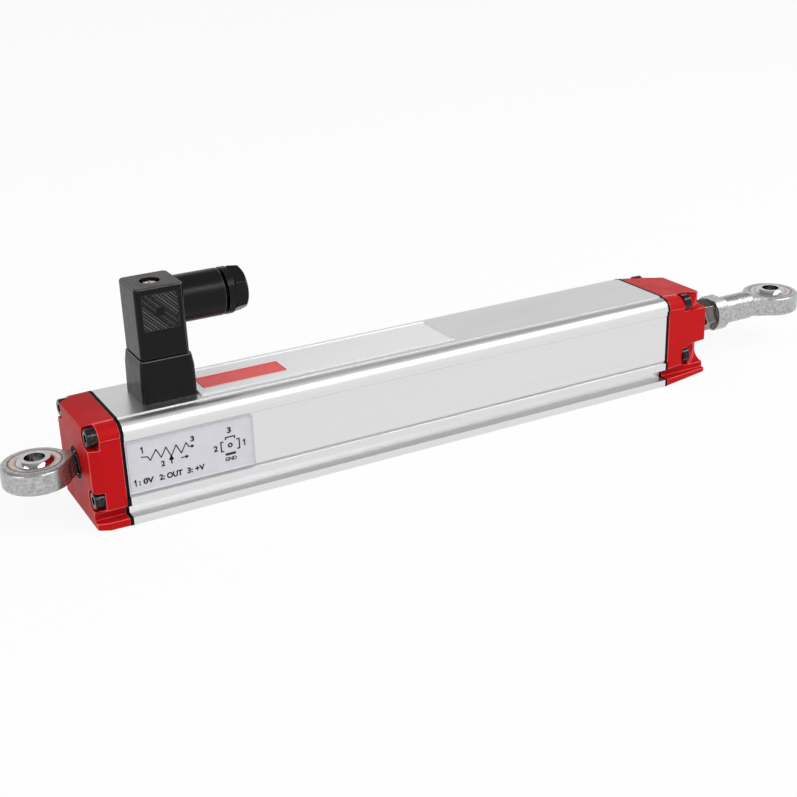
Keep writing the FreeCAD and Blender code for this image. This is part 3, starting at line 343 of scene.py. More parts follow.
# Cap screws: M3 socket head screws of blackened steel with knurled heads, four in each cap.
# They seat in counterbores that break out at the cap's sides, and reach into the profile's screw channels.
SCREW_HEAD_R = 0.00275
SCREW_HEAD_HEIGHT = 0.0030
SCREW_CORE_R = 0.0015
SCREW_RIM = 0.00035
RIM_NARROWING = 0.86
RIM_INSET = 0.0003
RIM_DISH = 0.00008
KNURLS = 48
KNURL_NARROWING = 0.955
KEY_R = 0.00144
KEY_FLOOR = SCREW_HEAD_HEIGHT * 0.45
SHANK_OVERLAP = 0.0001
UPPER_SCREW = Vector((0.0130, 0.01225))
LOWER_SCREW = Vector((0.0133, -0.00685))
REAR_SEAT_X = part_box("rear_cap_screws")[0].x + SCREW_HEAD_HEIGHT
FRONT_SEAT_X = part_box("front_cap_screws")[1].x - SCREW_HEAD_HEIGHT


def select_faces(piece, chosen):
    """In edit mode, selects the faces that the test chooses by centre and normal."""
    bpy.ops.object.mode_set(mode="OBJECT")
    for vertex in piece.data.vertices:
        vertex.select = False
    for edge in piece.data.edges:
        edge.select = False
    for face in piece.data.polygons:
        face.select = chosen(face.center, face.normal)
    bpy.ops.object.mode_set(mode="EDIT")


def round_bar(x0, x1, r, y, z, vertices):
    """Cylinder along X with its place in its mesh."""
    bpy.ops.object.select_all(action="DESELECT")
    bpy.ops.mesh.primitive_cylinder_add(vertices=vertices, radius=r, depth=x1 - x0,
                                        location=((x0 + x1) / 2, y, z), rotation=(0, math.pi / 2, 0))
    bpy.ops.object.transform_apply()
    return bpy.context.object


def cut_away(piece, waste):
    apply_modifier(piece, "BOOLEAN", object=waste, operation="DIFFERENCE", solver="EXACT")
    bpy.data.objects.remove(waste, do_unlink=True)


def join_pieces(name, pieces):
    bpy.ops.object.select_all(action="DESELECT")
    for piece in pieces:
        piece.select_set(True)
    bpy.context.view_layer.objects.active = pieces[0]
    bpy.ops.object.join()
    pieces[0].name = name
    return pieces[0]


def cap_screw(seat_x, out, inner_x, y, z):
    """One screw: knurled head with a turned rim, hexagon socket and shank."""
    side_end = seat_x + out * (SCREW_HEAD_HEIGHT - SCREW_RIM)
    x0, x1 = sorted((seat_x, side_end))
    head = round_bar(x0, x1, SCREW_HEAD_R, y, z, 2 * KNURLS)
    middle = Vector((side_end, y, z))
    for vertex in head.data.vertices:
        spoke = math.atan2(vertex.co.z - z, vertex.co.y - y) * KNURLS / math.pi
        vertex.select = round(spoke) % 2 == 0
    bpy.ops.object.mode_set(mode="EDIT")
    bpy.ops.mesh.select_mode(type="VERT")
    bpy.ops.transform.resize(value=(1, KNURL_NARROWING, KNURL_NARROWING), center_override=middle)
    bpy.ops.mesh.select_mode(type="FACE")
    select_faces(head, lambda centre, normal: normal.x * out > 0.9)
    bpy.ops.mesh.extrude_region_move(TRANSFORM_OT_translate={"value": (out * SCREW_RIM, 0, 0)})
    bpy.ops.transform.resize(value=(1, RIM_NARROWING, RIM_NARROWING), center_override=middle)
    bpy.ops.mesh.inset(thickness=RIM_INSET, depth=-RIM_DISH)
    bpy.ops.object.mode_set(mode="OBJECT")
    key_x = sorted((seat_x + out * KEY_FLOOR, seat_x + out * SCREW_HEAD_HEIGHT * 2))
    cut_away(head, round_bar(key_x[0], key_x[1], KEY_R, y, z, 6))
    shank_x = sorted((seat_x - out * SHANK_OVERLAP, inner_x))
    shank = round_bar(shank_x[0], shank_x[1], SCREW_CORE_R, y, z, 32)
    return join_pieces("cap_screw", [head, shank])


tree, shader, blackened = new_finish("black_screw_steel", 0.3, 1.0)
oxide = grain(tree, (0.0006, 0.0006, 0.0006), 4.0)
tint(tree, shader, oxide, (0.014, 0.014, 0.014), (0.050, 0.049, 0.048))
vary_roughness(tree, shader, oxide, 0.14, 0.24)
raise_surface(tree, shader, oxide, 0.00001, 0.5)

for node, seat_x, out in (("rear_cap_screws", REAR_SEAT_X, -1), ("front_cap_screws", FRONT_SEAT_X, 1)):
    inner_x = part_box(node)[1].x if out < 0 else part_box(node)[0].x
    screws = []
    for place in (UPPER_SCREW, LOWER_SCREW):
        for side in (-1, 1):
            screws.append(cap_screw(seat_x, out, inner_x, side * place.x, place.y))
    screws = join_pieces(node + "_knurled", screws)
    screws.data.materials.clear()
    screws.data.materials.append(blackened)
    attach(screws, "housing")
    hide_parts(node)


# Jam nut: zinc plated hexagon nut that locks the front rod end on the rod.
# It is turned and chamfered from bar, and its rounded corners are painted near white as a highlight.
NUT_ROUNDING = 0.00022
tree, shader, zinc_nut = new_finish("zinc_nut", 0.26, 1.0)
turned_lines = grain(tree, (0.0003, 0.004, 0.004))
tint(tree, shader, turned_lines, (0.10, 0.096, 0.09), (0.20, 0.195, 0.19))
vary_roughness(tree, shader, turned_lines, 0.10, 0.2)
raise_surface(tree, shader, turned_lines, 0.00001, 0.5)
# Painted highlight: a near-white colour for the nut's rounded corners.
tree, shader, nut_corner_highlight = new_finish("zinc_nut_corner_highlight", 0.22, 1.0)
nut_highlight_grain = grain(tree, (0.001, 0.001, 0.001))
tint(tree, shader, nut_highlight_grain, (0.60, 0.60, 0.60), (0.86, 0.86, 0.86))
ease_edges("rod_jam_nut", NUT_ROUNDING, zinc_nut, nut_corner_highlight, "rod")


# Rod ends: size 6, forged steel, zinc plated, a male one in the rear cap and a female one on the rod.
# The forging skin stays rough on the sides, and the race is staked into the bore, with painted shade in a
# ring round it.
FIXED_EYE_X = 0.0
MOVING_EYE_X = (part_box("rod_end_ball")[0].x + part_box("rod_end_ball")[1].x) / 2
RACE_SHADE_R = 0.0076
RACE_SHADE_END_R = 0.0079


def reach_from(tree, eye_x):
    """Distance from the upright axis of the eye at this x."""
    place = add_node(tree, "ShaderNodeTexCoord")
    from_eye = add_node(tree, "ShaderNodeMapping", {"Location": (-eye_x, 0, 0), "Scale": (1, 1, 0)})
    reach = add_node(tree, "ShaderNodeVectorMath", operation="LENGTH")
    join(tree, place, "Object", from_eye, 0)
    join(tree, from_eye, 0, reach, 0)
    return reach


def zinc_finish(name, eye_x):
    """Zinc plate over a forging, with painted shade: darker round the race, where it meets the eye."""
    tree, shader, finish = new_finish(name, 0.34, 0.85)
    skin = grain(tree, (0.0014, 0.0012, 0.0008), 4.0)
    spots = grain(tree, (0.00022, 0.0018, 0.0018))
    colours = tint(tree, shader, skin, (0.33, 0.33, 0.335), (0.54, 0.54, 0.54), 0.34, 0.64)
    # Painted shade: the eye is darkened to 12 % within 7.6 mm of its axis, fading out by 7.9 mm.
    race_shade_reach = {1: RACE_SHADE_R, 2: RACE_SHADE_END_R, 3: 0.12, 4: 1.0}
    line = add_node(tree, "ShaderNodeMapRange", race_shade_reach)
    shade = add_node(tree, "ShaderNodeMix", {0: 1.0}, data_type="RGBA", blend_type="MULTIPLY")
    join(tree, reach_from(tree, eye_x), "Value", line, 0)
    join(tree, colours, "Color", shade, 6)
    join(tree, line, 0, shade, 7)
    join(tree, shade, 2, shader, "Base Color")
    vary_roughness(tree, shader, spots, 0.24, 0.34)
    rough = raise_surface(tree, shader, skin, 0.000040, 0.5)
    raise_surface(tree, shader, spots, 0.000006, 0.35, rough)
    return finish


dress(zinc_finish("zinc_steel_fixed", FIXED_EYE_X), "fixed_rod_end")
dress(zinc_finish("zinc_steel_moving", MOVING_EYE_X), "rod_end_housing")


# Races and balls: a bronze race in each eye, and a polished chrome steel ball that tilts in it.
# The race is tinned grey on its face and bare bronze at its inner and outer edges.
RACE_BORE_R = 0.0050
RACE_RIM_R = 0.0075
RACE_BARE = ((0.34, 0.19, 0.15, 1), (0.42, 0.20, 0.15, 1))
RACE_TINNED = ((0.35, (0.52, 0.40, 0.35, 1)), (0.5, (0.62, 0.57, 0.54, 1)), (0.78, (0.62, 0.55, 0.51, 1)))


def race_finish(name, eye_x):
    """Bronze with its colours in rings round the eye's axis."""
    tree, shader, finish = new_finish(name, 0.24, 1.0)
    rubbed = grain(tree, (0.0015, 0.0015, 0.0004), 4.0)
    across = add_node(tree, "ShaderNodeMapRange", {1: RACE_BORE_R, 2: RACE_RIM_R})
    ring_colours = add_node(tree, "ShaderNodeValToRGB")
    for number, colour in enumerate(RACE_BARE):
        ring_colours.color_ramp.elements[number].color = colour
    for share, colour in RACE_TINNED:
        ring_colours.color_ramp.elements.new(share).color = colour
    join(tree, reach_from(tree, eye_x), "Value", across, 0)
    join(tree, across, 0, ring_colours, "Fac")
    join(tree, ring_colours, "Color", shader, "Base Color")
    vary_roughness(tree, shader, rubbed, 0.18, 0.36)
    raise_surface(tree, shader, rubbed, 0.00002, 0.5)
    return finish


dress(race_finish("race_bronze_fixed", FIXED_EYE_X), "fixed_race")
dress(race_finish("race_bronze_moving", MOVING_EYE_X), "rod_end_race")

tree, shader, ball_chrome = new_finish("ball_steel", 0.09, 1.0)
polish = grain(tree, (0.003, 0.003, 0.003), 2.0)
tint(tree, shader, polish, (0.46, 0.46, 0.47), (0.58, 0.58, 0.59))
vary_roughness(tree, shader, polish, 0.06, 0.14)
raise_surface(tree, shader, polish, 0.00001, 0.3)
dress(ball_chrome, "fixed_ball", "rod_end_ball")


# Fixed shank: its M6 thread runs through an insert in the rear cap and is locked by a nut inside.
# Insert, nut and thread are dressed in black screw steel, and a black rubber ring fills the cap's recess
# round the shank, as painted shade in the recess.
THREAD_PITCH = 0.001
THREAD_SINK = 0.45
THREAD_STEPS = 48
SHANK_THREAD_X = 0.0098
NECK_RING_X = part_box("rear_cap")[0].x + 0.0001
NECK_RING_END_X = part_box("fixed_insert")[0].x
NECK_RING_R = 0.0049
NECK_RING_BORE_R = 0.0036
NECK_RING_ROUNDING = 0.0003
BORE_START = 0.001
BORE_END = 0.01

# Painted shade: the insert and nut are black, so that the recess round the shank reads dark.
dress(blackened, "fixed_insert", "fixed_nut")


def screw_thread(name, x0, turns, r, depth, finish, body):
    """Helical ridge wound on a shank along X, both ends closed."""
    bpy.ops.object.select_all(action="DESELECT")
    bpy.ops.mesh.primitive_circle_add(vertices=3, radius=depth, fill_type="NGON",
                                      location=(x0, 0, r - depth * THREAD_SINK))
    ridge = bpy.context.object
    ridge.rotation_euler = (math.pi / 2, 0, 0)
    bpy.ops.object.transform_apply()
    bpy.ops.object.mode_set(mode="EDIT")
    bpy.ops.mesh.select_all(action="SELECT")
    bpy.ops.mesh.delete(type="ONLY_FACE")
    bpy.ops.object.mode_set(mode="OBJECT")
    apply_modifier(ridge, "SCREW", axis="X", steps=THREAD_STEPS, render_steps=THREAD_STEPS,
                   screw_offset=THREAD_PITCH, iterations=turns, use_smooth_shade=False)
    bpy.ops.object.mode_set(mode="EDIT")
    bpy.ops.mesh.select_mode(type="EDGE")
    bpy.ops.mesh.select_all(action="DESELECT")
    bpy.ops.mesh.select_non_manifold()
    bpy.ops.mesh.edge_face_add()
    bpy.ops.mesh.select_all(action="SELECT")
    bpy.ops.mesh.normals_make_consistent(inside=False)
    bpy.ops.object.mode_set(mode="OBJECT")
    ridge.name = name
    ridge.data.materials.append(finish)
    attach(ridge, body)


# Painted shade: the thread in the recess is black as well.
screw_thread("fixed_shank_thread", SHANK_THREAD_X, turns=6, r=0.0032, depth=0.00055,
             finish=blackened, body="housing")

# Painted shade: a black ring fills the cap's recess, where there is only shade round the neck.
neck_shade_ring = round_bar(NECK_RING_X, NECK_RING_END_X, NECK_RING_R, 0, 0, 64)
neck_bore = round_bar(NECK_RING_X - BORE_START, NECK_RING_X + BORE_END, NECK_RING_BORE_R, 0, 0, 48)
cut_away(neck_shade_ring, neck_bore)
apply_modifier(neck_shade_ring, "BEVEL", width=NECK_RING_ROUNDING, segments=2, limit_method="ANGLE",
               angle_limit=math.radians(40))
bpy.ops.object.shade_smooth_by_angle(angle=SMOOTH_ANGLE)
neck_shade_ring.name = "neck_shade_ring"
neck_shade_ring.data.materials.append(rubber)
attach(neck_shade_ring, "housing")


# Front bearing: a bronze bush pressed into the front cap's spigot guides the rod.
# The bush is turned and oil-soaked, with fine turning marks round its bore.
tree, shader, bush_bronze = new_finish("bearing_bronze", 0.38, 1.0)
bush_lines = grain(tree, (0.0004, 0.003, 0.003))
tint(tree, shader, bush_lines, (0.38, 0.22, 0.10), (0.56, 0.36, 0.18))
vary_roughness(tree, shader, bush_lines, 0.3, 0.5)
dress(bush_bronze, "rod_bushing")


# Wiper carriage: white acetal block on the rod's tail, with two gold-alloy combs that brush the strips.
# Two spring steel clips in the rod's grooves hold it between them.
tree, shader, acetal = new_finish("carriage_plastic", 0.45, 0.0)
acetal_flow = grain(tree, (0.004, 0.002, 0.002))
tint(tree, shader, acetal_flow, (0.62, 0.60, 0.55), (0.74, 0.72, 0.67))
vary_roughness(tree, shader, acetal_flow, 0.38, 0.55)
dress(acetal, "wiper_carriage")

tree, shader, gold_alloy = new_finish("spring_alloy", 0.22, 1.0)
rolled = grain(tree, (0.003, 0.0003, 0.0003))
tint(tree, shader, rolled, (0.62, 0.46, 0.22), (0.82, 0.66, 0.38))
vary_roughness(tree, shader, rolled, 0.16, 0.3)
dress(gold_alloy, "wiper_springs")


# Push rod: hardened steel, centreless ground, with an M6 thread at its outer end for nut and rod end.
# Grinding leaves very fine rings round it. The carriage's clips are of the same bright steel.
ROD_THREAD_SHOWN = 0.0045
ROD_THREAD_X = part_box("rod_jam_nut")[0].x - ROD_THREAD_SHOWN
tree, shader, ground_steel = new_finish("ground_steel", 0.16, 1.0)
rings = grain(tree, (0.00015, 0.006, 0.006))
tint(tree, shader, rings, (0.52, 0.52, 0.53), (0.66, 0.66, 0.67))
vary_roughness(tree, shader, rings, 0.12, 0.24)
raise_surface(tree, shader, rings, 0.000003, 0.5)
dress(ground_steel, "push_rod", "rod_clips")
screw_thread("push_rod_thread", ROD_THREAD_X, turns=4, r=0.0031, depth=0.0005,
             finish=zinc_nut, body="rod")


# Connector: black nylon socket on the profile and a right-angled plug held on it by one long screw.
# Both are glass-filled mouldings with a matt tool texture and rounded edges, which are painted lighter as a
# highlight.
# A ribbed grip panel is sunk in each broad side of the plug, its ribs painted with light dots as glints,
# and a hexagon nut closes the cable barrel.
SOCKET_ROUNDING = 0.00028
PLUG_ROUNDING = 0.00007
GLAND_ROUNDING = 0.00022
TOUCH = 0.0001
SOCKET_LOW, SOCKET_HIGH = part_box("connector_base")
CONNECTOR_X = (SOCKET_LOW.x + SOCKET_HIGH.x) / 2
SOCKET_WALL_REACH = 0.0063
SOCKET_WALL_HEIGHT = 0.0102
PLUG_LOW, PLUG_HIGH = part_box("plug_housing")
PLUG_HALF_X = CONNECTOR_X - PLUG_LOW.x
PLUG_HALF_Y = PLUG_HIGH.y
PLUG_CORNER = 0.00165
PLUG_SIDE_GROWTH = 0.0002
PLUG_BACK_GROWTH = 0.0006
TOP_EDGE = 0.0008
NUT_LOW, NUT_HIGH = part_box("gland_nut")
BARREL_Z = (NUT_LOW.z + NUT_HIGH.z) / 2
BARREL_R = 0.0070
HEXAGON_LENGTH = 0.0050
HEXAGON_X = NUT_HIGH.x - HEXAGON_LENGTH
HEXAGON_SHORTENING = 0.0010
HEXAGON_NARROWING = 0.94
PANEL_HALF = 0.0052
PANEL_MARGIN = 0.0020
PANEL_DEPTH = 0.0007
PANEL_Z = PLUG_HIGH.z - PANEL_MARGIN - PANEL_HALF
PANEL_FLOOR_Y = PLUG_HALF_Y - PANEL_DEPTH
PANEL_BOSS_HALF = 0.0009
RIBS = 10
RIB_PITCH = PANEL_HALF * 2 * math.sqrt(2) / RIBS
RIB_DROP = 0.00015
RIB_NEAR = 0.00004
RIB_DOT_SPACING = 0.001122
BAR_LENGTH = 0.03
BAR_DEPTH = 0.00060
BAR_WIDTH = 0.00030
WINDOW_DEPTH = 0.002
# The wave pattern repeats every pi / 5 units.
RIB_DOT_SCALE = math.pi / 5 / RIB_DOT_SPACING
# Height of the socket's foot, band and rim, each with its growth along X and Y, its shift and its lift.
SOCKET_LEVELS = (
    (SOCKET_LOW.z, 1.037, 1.031, 0.00030, 0),
    (SOCKET_LOW.z + SOCKET_WALL_HEIGHT, 1.097, 1.094, 0.00042, -0.0009),
    (SOCKET_HIGH.z, 1.100, 1.095, 0.00042, 0),
)

tree, shader, black_nylon = new_finish("black_plastic", 0.3, 0.0, 0.16)
tool_marks = grain(tree, (0.0004, 0.0004, 0.0004), 4.0)
nylon_flow = grain(tree, (0.005, 0.005, 0.007))
tint(tree, shader, tool_marks, (0.0022, 0.0019, 0.0023), (0.0056, 0.0050, 0.0058))
vary_roughness(tree, shader, nylon_flow, 0.24, 0.34)
fine = raise_surface(tree, shader, tool_marks, 0.00002, 0.45)
raise_surface(tree, shader, nylon_flow, 0.00010, 0.2, fine)
dress(black_nylon, "plug_insert")

# Painted highlight: a lighter colour for the rounded edges of the socket, plug and nut.
tree, shader, nylon_edge_highlight = new_finish("black_plastic_edge_highlight", 0.28, 0.0)
nylon_highlight_grain = grain(tree, (0.002, 0.002, 0.002))
tint(tree, shader, nylon_highlight_grain, (0.030, 0.029, 0.030), (0.080, 0.078, 0.081))
vary_roughness(tree, shader, nylon_highlight_grain, 0.22, 0.36)

# Painted highlight: light dots along the grip ribs stand in for glints on the black nylon.
tree, shader, rib_glint_nylon = new_finish("black_plastic_rib_glints", 0.34, 0.0)
rib_place = add_node(tree, "ShaderNodeTexCoord")
rib_turn = add_node(tree, "ShaderNodeMapping", {"Scale": (RIB_DOT_SCALE, RIB_DOT_SCALE, -RIB_DOT_SCALE)})
rib_glint_dots = add_node(tree, "ShaderNodeTexWave", {"Scale": 1.0}, wave_type="BANDS",
                    bands_direction="DIAGONAL")
join(tree, rib_place, "Object", rib_turn, 0)
join(tree, rib_turn, 0, rib_glint_dots, 0)
tint(tree, shader, rib_glint_dots, (0.003, 0.003, 0.003), (0.085, 0.085, 0.088))


def move_points(piece, chosen, shift, stretch=(1, 1, 1), centre=(0, 0, 0)):
    """Stretches the points that the test chooses about the centre, then shifts them."""
    select_only(piece)
    bpy.ops.object.mode_set(mode="EDIT")
    bpy.ops.mesh.select_mode(type="VERT")
    bpy.ops.mesh.select_all(action="DESELECT")
    bpy.ops.object.mode_set(mode="OBJECT")
    for vertex in piece.data.vertices:
        vertex.select = chosen(vertex.co)
    bpy.ops.object.mode_set(mode="EDIT")
    bpy.ops.transform.resize(value=stretch, center_override=centre)
    bpy.ops.transform.translate(value=shift)
    bpy.ops.object.mode_set(mode="OBJECT")


def widen_socket(piece):
    """The socket's rim stands out round the plug like a cup, with a sloped band under it."""
    def on_wall(co):
        return max(abs(co.x - CONNECTOR_X), abs(co.y)) > SOCKET_WALL_REACH

    for z, wider, deeper, shift, lift in SOCKET_LEVELS:
        move_points(piece, lambda co: abs(co.z - z) < TOUCH and on_wall(co), (shift, 0, lift),
                    (wider, deeper, 1), (CONNECTOR_X, 0, 0))


def widen_plug(piece):
    """The plug's square body grows to the sides and back, and its rib tops and top edges get painted
    highlights.
    """
    piece.data.materials.append(rib_glint_nylon)
    for face in piece.data.polygons:
        from_boss = max(abs(face.center.x - CONNECTOR_X), abs(face.center.z - PANEL_Z))
        on_rib = abs(abs(face.center.y) - PLUG_HALF_Y + RIB_DROP) < RIB_NEAR
        if on_rib and from_boss > PANEL_BOSS_HALF:
            face.material_index = 2
        if face.center.z > PLUG_HIGH.z - TOP_EDGE and 0.5 < face.normal.z < 0.9:
            face.material_index = 1
    back_x = CONNECTOR_X + PLUG_HALF_X

    def on_side(co, side):
        on_barrel = abs(math.hypot(co.y, co.z - BARREL_Z) - BARREL_R) < TOUCH
        return co.y * side > PLUG_HALF_Y - PLUG_CORNER and co.x < back_x + TOUCH and not on_barrel

    for side in (-1, 1):
        move_points(piece, lambda co: on_side(co, side), (0, side * PLUG_SIDE_GROWTH, 0))
    move_points(piece, lambda co: back_x - PLUG_CORNER < co.x < back_x + TOUCH, (PLUG_BACK_GROWTH, 0, 0))


def trim_nut(piece):
    """The nut's hexagon is short and narrower than its collar."""
    narrower = (1, HEXAGON_NARROWING, HEXAGON_NARROWING)
    move_points(piece, lambda co: co.x > HEXAGON_X + 2 * TOUCH, (-HEXAGON_SHORTENING, 0, 0), narrower,
                (HEXAGON_X, 0, BARREL_Z))


ease_edges("connector_base", SOCKET_ROUNDING, black_nylon, nylon_edge_highlight, "housing",
           widen_socket, clamp=False)
ease_edges("plug_housing", PLUG_ROUNDING, black_nylon, nylon_edge_highlight, "housing", widen_plug)
ease_edges("gland_nut", GLAND_ROUNDING, black_nylon, nylon_edge_highlight, "housing", trim_nut)


def box_at(place, sides, lean=0):
    """Block of these sides about its place, leaned about Y, with its place in its mesh."""
    bpy.ops.object.select_all(action="DESELECT")
    bpy.ops.mesh.primitive_cube_add(size=1, location=place, rotation=(0, lean, 0), scale=sides)
    bpy.ops.object.transform_apply()
    return bpy.context.object


grip_bars = []
for side in (-1, 1):
    bar_y = side * (PANEL_FLOOR_Y + BAR_DEPTH / 2)
    for number in range(-RIBS // 2, RIBS // 2):
        along = (number + 0.5) * RIB_PITCH * math.sqrt(2)
        bar = box_at((CONNECTOR_X + along, bar_y, PANEL_Z), (BAR_LENGTH, BAR_DEPTH, BAR_WIDTH), math.pi / 4)
        window = box_at((CONNECTOR_X, bar_y, PANEL_Z), (PANEL_HALF * 2, WINDOW_DEPTH, PANEL_HALF * 2))
        apply_modifier(bar, "BOOLEAN", object=window, operation="INTERSECT", solver="EXACT")
        bpy.data.objects.remove(window, do_unlink=True)
        grip_bars.append(bar)
grip_bars = join_pieces("grip_bars", grip_bars)
grip_bars.data.materials.clear()
grip_bars.data.materials.append(rib_glint_nylon)
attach(grip_bars, "housing")

tree, shader, brass = new_finish("insert_brass", 0.3, 1.0)
brass_lines = grain(tree, (0.0003, 0.002, 0.002))
tint(tree, shader, brass_lines, (0.16, 0.11, 0.05), (0.30, 0.21, 0.10))
vary_roughness(tree, shader, brass_lines, 0.22, 0.4)
dress(brass, "contact_pin_1", "contact_pin_2", "contact_pin_3", "contact_pin_4")

tree, shader, nickel = new_finish("screw_nickel", 0.4, 0.35)
wear = grain(tree, (0.0012, 0.0012, 0.0012), 4.0)
tint(tree, shader, wear, (0.66, 0.42, 0.33), (0.92, 0.88, 0.84), 0.4, 0.6)
vary_roughness(tree, shader, wear, 0.3, 0.5)
raise_surface(tree, shader, wear, 0.00002, 0.4)
dress(nickel, "plug_screw", "base_screws", "gland_washer")


# Side label: pale polyester label in the profile's shallow recess, printed in black.
# It shows the three connections as a wiring sketch, their names, and the socket seen from its face.
LABEL_Y = -0.0158
LABEL_THICKNESS = 0.00006
LABEL_CORNER = 0.0006
LABEL_GAP = 0.0004
LABEL_START_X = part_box("rear_gasket")[1].x + LABEL_GAP
LABEL_END_X = 0.0601
LABEL_LOW_Z = -0.0064
LABEL_HIGH_Z = 0.0095
INK_THICKNESS = 0.00002
INK_Y = LABEL_Y - LABEL_THICKNESS - INK_THICKNESS / 2
LINE_WIDTH = 0.00034
LINE_OVERLAP = 0.6
LETTER_WEIGHT = 0.046
LETTER_DEPTH = 0.01
FLAG_REACH = 0.42
FLAG_DROP = 0.45


def label_plate(name, low, high, corner, finish, axis):
    """Thin plate between two corners, with rounded corners, lying flat across the given axis."""
    middle = [(a + b) / 2 for a, b in zip(low, high)]
    plate = box_at(middle, [b - a for a, b in zip(low, high)])
    bpy.ops.object.mode_set(mode="EDIT")
    bpy.ops.mesh.select_mode(type="EDGE")
    bpy.ops.object.mode_set(mode="OBJECT")
    for edge in plate.data.edges:
        ends = [plate.data.vertices[number].co for number in edge.vertices]
        edge.select = abs((ends[0] - ends[1])[axis]) > 1e-6
    bpy.ops.object.mode_set(mode="EDIT")
    bpy.ops.mesh.bevel(offset=corner, segments=4)
    bpy.ops.object.mode_set(mode="OBJECT")
    plate.name = name
    plate.data.materials.append(finish)
    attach(plate, "housing")


tree, shader, label_film = new_finish("label_film", 0.38, 0.0, 0.4)
film_grain = grain(tree, (0.003, 0.003, 0.002))
film_waves = grain(tree, (0.02, 0.02, 0.01), 2.0)
tint(tree, shader, film_grain, (0.60, 0.603, 0.642), (0.625, 0.63, 0.665))
vary_roughness(tree, shader, film_waves, 0.34, 0.46)
raise_surface(tree, shader, film_grain, 0.000006, 0.5)
label_plate("side_label", (LABEL_START_X, LABEL_Y - LABEL_THICKNESS, LABEL_LOW_Z),
            (LABEL_END_X, LABEL_Y, LABEL_HIGH_Z), LABEL_CORNER, label_film, 1)

tree, shader, black_ink = new_finish("black_ink", 0.5, 0.0, 0.3)
ink_grain = grain(tree, (0.0003, 0.0003, 0.0003))
tint(tree, shader, ink_grain, (0.006, 0.006, 0.007), (0.02, 0.02, 0.022))
side_print = []


def ink_line(points, weight=1.0):
    """Printed line through points given as x and z in millimetres."""
    width = LINE_WIDTH * weight
    for (x0, z0), (x1, z1) in zip(points, points[1:]):
        start = Vector((x0 / 1000, INK_Y, z0 / 1000))
        end = Vector((x1 / 1000, INK_Y, z1 / 1000))
        lean = math.atan2(start.z - end.z, end.x - start.x)
        long = (end - start).length + width * LINE_OVERLAP
        side_print.append(box_at((start + end) / 2, (long, INK_THICKNESS, width), lean))


def ink_text(words, x0, x1, z_middle, tall):
    """Printed word fitted between two x in millimetres and to its height."""
    bpy.ops.object.select_all(action="DESELECT")
    bpy.ops.object.text_add()
    text = bpy.context.object
    text.data.body = words
    text.data.offset = LETTER_WEIGHT
    text.data.extrude = LETTER_DEPTH
    bpy.ops.object.convert(target="MESH")
    low = Vector([min(v.co[axis] for v in text.data.vertices) for axis in range(3)])
    high = Vector([max(v.co[axis] for v in text.data.vertices) for axis in range(3)])
    middle = (low + high) / 2
    size = high - low
    text.data.transform(Matrix.Translation(-middle))
    text.scale = ((x1 - x0) / 1000 / size.x, tall / 1000 / size.y, INK_THICKNESS / size.z)
    bpy.ops.object.transform_apply(location=False, rotation=False)
    text.rotation_euler = (math.pi / 2, 0, 0)
    text.location = ((x0 + x1) / 2000, INK_Y, z_middle / 1000)
    bpy.ops.object.transform_apply()
    side_print.append(text)


def ink_one(x, z_middle, tall):
    """Figure one with its flag, as a printed line."""
    top = z_middle + tall / 2
    ink_line([(x - FLAG_REACH, top - FLAG_DROP), (x, top), (x, z_middle - tall / 2)], 1.15)


# The sketch: a zigzag resistor, its wiper's arrow, an arrow for the travel, and the ends' numbers.
ink_line([(26.1, 4.1), (27.9, 3.8), (28.6, 2.5), (30.5, 5.45), (31.9, 2.6), (33.45, 5.45), (34.85, 2.3),
          (36.5, 5.4), (37.9, 2.5), (39.5, 5.35), (40.25, 4.0), (41.4, 3.85)])
ink_line([(34.8, 0.1), (34.8, 2.2)], 1.3)
ink_line([(34.35, 1.35), (34.8, 2.25), (35.25, 1.35), (34.35, 1.35)], 1.5)
ink_line([(37.75, 1.05), (39.6, 1.05)])
ink_line([(39.2, 0.75), (39.75, 1.05), (39.2, 1.35)], 1.2)
ink_line([(41.1, 3.55), (41.65, 3.85), (41.1, 4.15)], 1.2)
ink_one(26.55, 6.2, 1.75)
ink_text("3", 40.9, 42.1, 6.1, 1.75)
ink_text("2", 31.6, 32.8, 0.65, 1.75)

# The names of the three connections, in one row under the sketch.
ink_one(23.7, -3.45, 1.85)
ink_text(": 0V", 24.6, 29.1, -3.45, 1.85)
ink_text("2: OUT", 30.7, 37.7, -3.45, 1.85)
ink_text("3: +V", 39.1, 44.5, -3.45, 1.85)

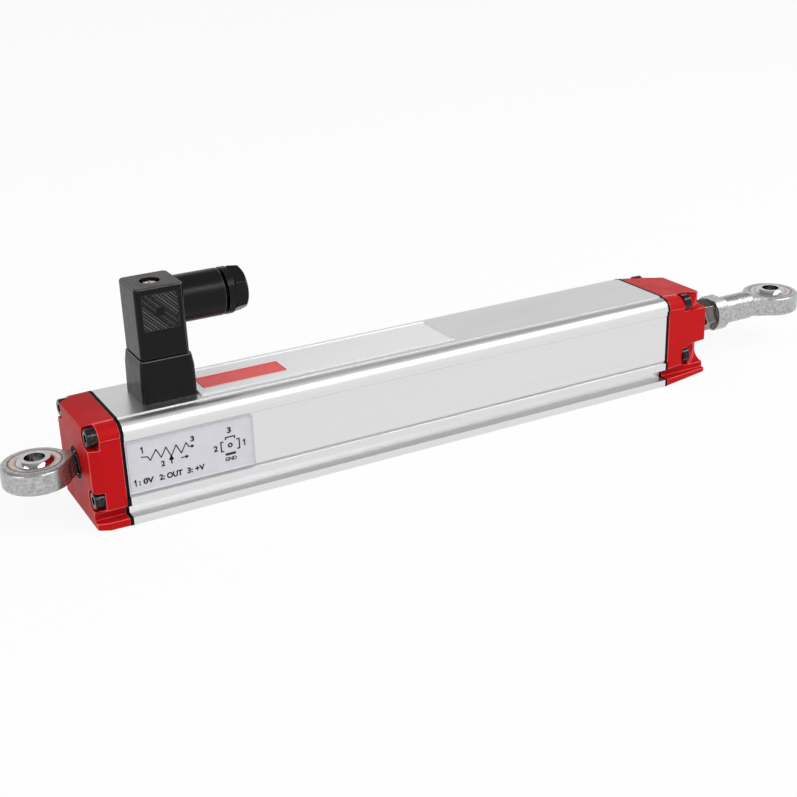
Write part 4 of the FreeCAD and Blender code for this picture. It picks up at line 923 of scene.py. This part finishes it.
# The socket seen from its face, with its numbers.
SOCKET_SIGN_X = 52.8
SOCKET_SIGN_Z = 1.3
SOCKET_SIGN_R = 0.55
SIGN_SIDES = 16
ink_text("3", 52.1, 53.4, 6.1, 1.9)
ink_line([(51.5, 3.3), (51.5, 3.95), (54.3, 3.95), (54.3, 3.3)], 1.2)
ink_line([(50.65, 2.75), (49.95, 2.75), (49.95, -0.25), (50.65, -0.25)], 1.2)
ink_line([(54.95, 2.75), (55.65, 2.75), (55.65, -0.25), (54.95, -0.25)], 1.2)
ink_line([(51.35, -1.4), (54.15, -1.4)], 2.2)
circle_points = []
for step in range(SIGN_SIDES + 1):
    angle = 2 * math.pi * step / SIGN_SIDES
    circle_points.append((SOCKET_SIGN_X + SOCKET_SIGN_R * math.cos(angle),
                          SOCKET_SIGN_Z + SOCKET_SIGN_R * math.sin(angle)))
ink_line(circle_points, 1.2)
ink_text("2", 47.6, 48.9, 1.15, 1.9)
ink_one(57.3, 1.15, 1.9)
ink_text("GND", 50.9, 54.5, -2.95, 1.2)

wiring_print = join_pieces("side_label_print", side_print)
wiring_print.data.materials.clear()
wiring_print.data.materials.append(black_ink)
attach(wiring_print, "housing")


# Top label: silver polyester label on the profile's flat between the connector and the middle.
# It carries one plain red field.
TOP_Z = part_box("profile_tube")[1].z
TOP_LABEL_GAP = 0.0009
TOP_LABEL_START_X = SOCKET_HIGH.x + TOP_LABEL_GAP
TOP_LABEL_END_X = 0.1332
TOP_LABEL_NEAR_Y = -0.0098
TOP_LABEL_FAR_Y = 0.0100
FIELD_START_X = 0.0505
FIELD_END_X = 0.0771
FIELD_NEAR_Y = -0.0043
FIELD_FAR_Y = 0.0039
FIELD_CORNER = 0.0002
FIELD_Z = TOP_Z + LABEL_THICKNESS

tree, shader, silver_film = new_finish("silver_film", 0.36, 0.15, 0.4)
silver_grain = grain(tree, (0.0008, 0.0008, 0.0008))
tint(tree, shader, silver_grain, (0.76, 0.76, 0.765), (0.82, 0.82, 0.825))
vary_roughness(tree, shader, silver_grain, 0.3, 0.44)
label_plate("top_label", (TOP_LABEL_START_X, TOP_LABEL_NEAR_Y, TOP_Z),
            (TOP_LABEL_END_X, TOP_LABEL_FAR_Y, FIELD_Z), LABEL_CORNER, silver_film, 2)

tree, shader, red_ink = new_finish("red_ink", 0.42, 0.0, 0.35)
red_grain = grain(tree, (0.0005, 0.0005, 0.0005))
tint(tree, shader, red_grain, (0.72, 0.070, 0.068), (0.82, 0.090, 0.088))
label_plate("top_label_red_field", (FIELD_START_X, FIELD_NEAR_Y, FIELD_Z),
            (FIELD_END_X, FIELD_FAR_Y, FIELD_Z + INK_THICKNESS), FIELD_CORNER, red_ink, 2)
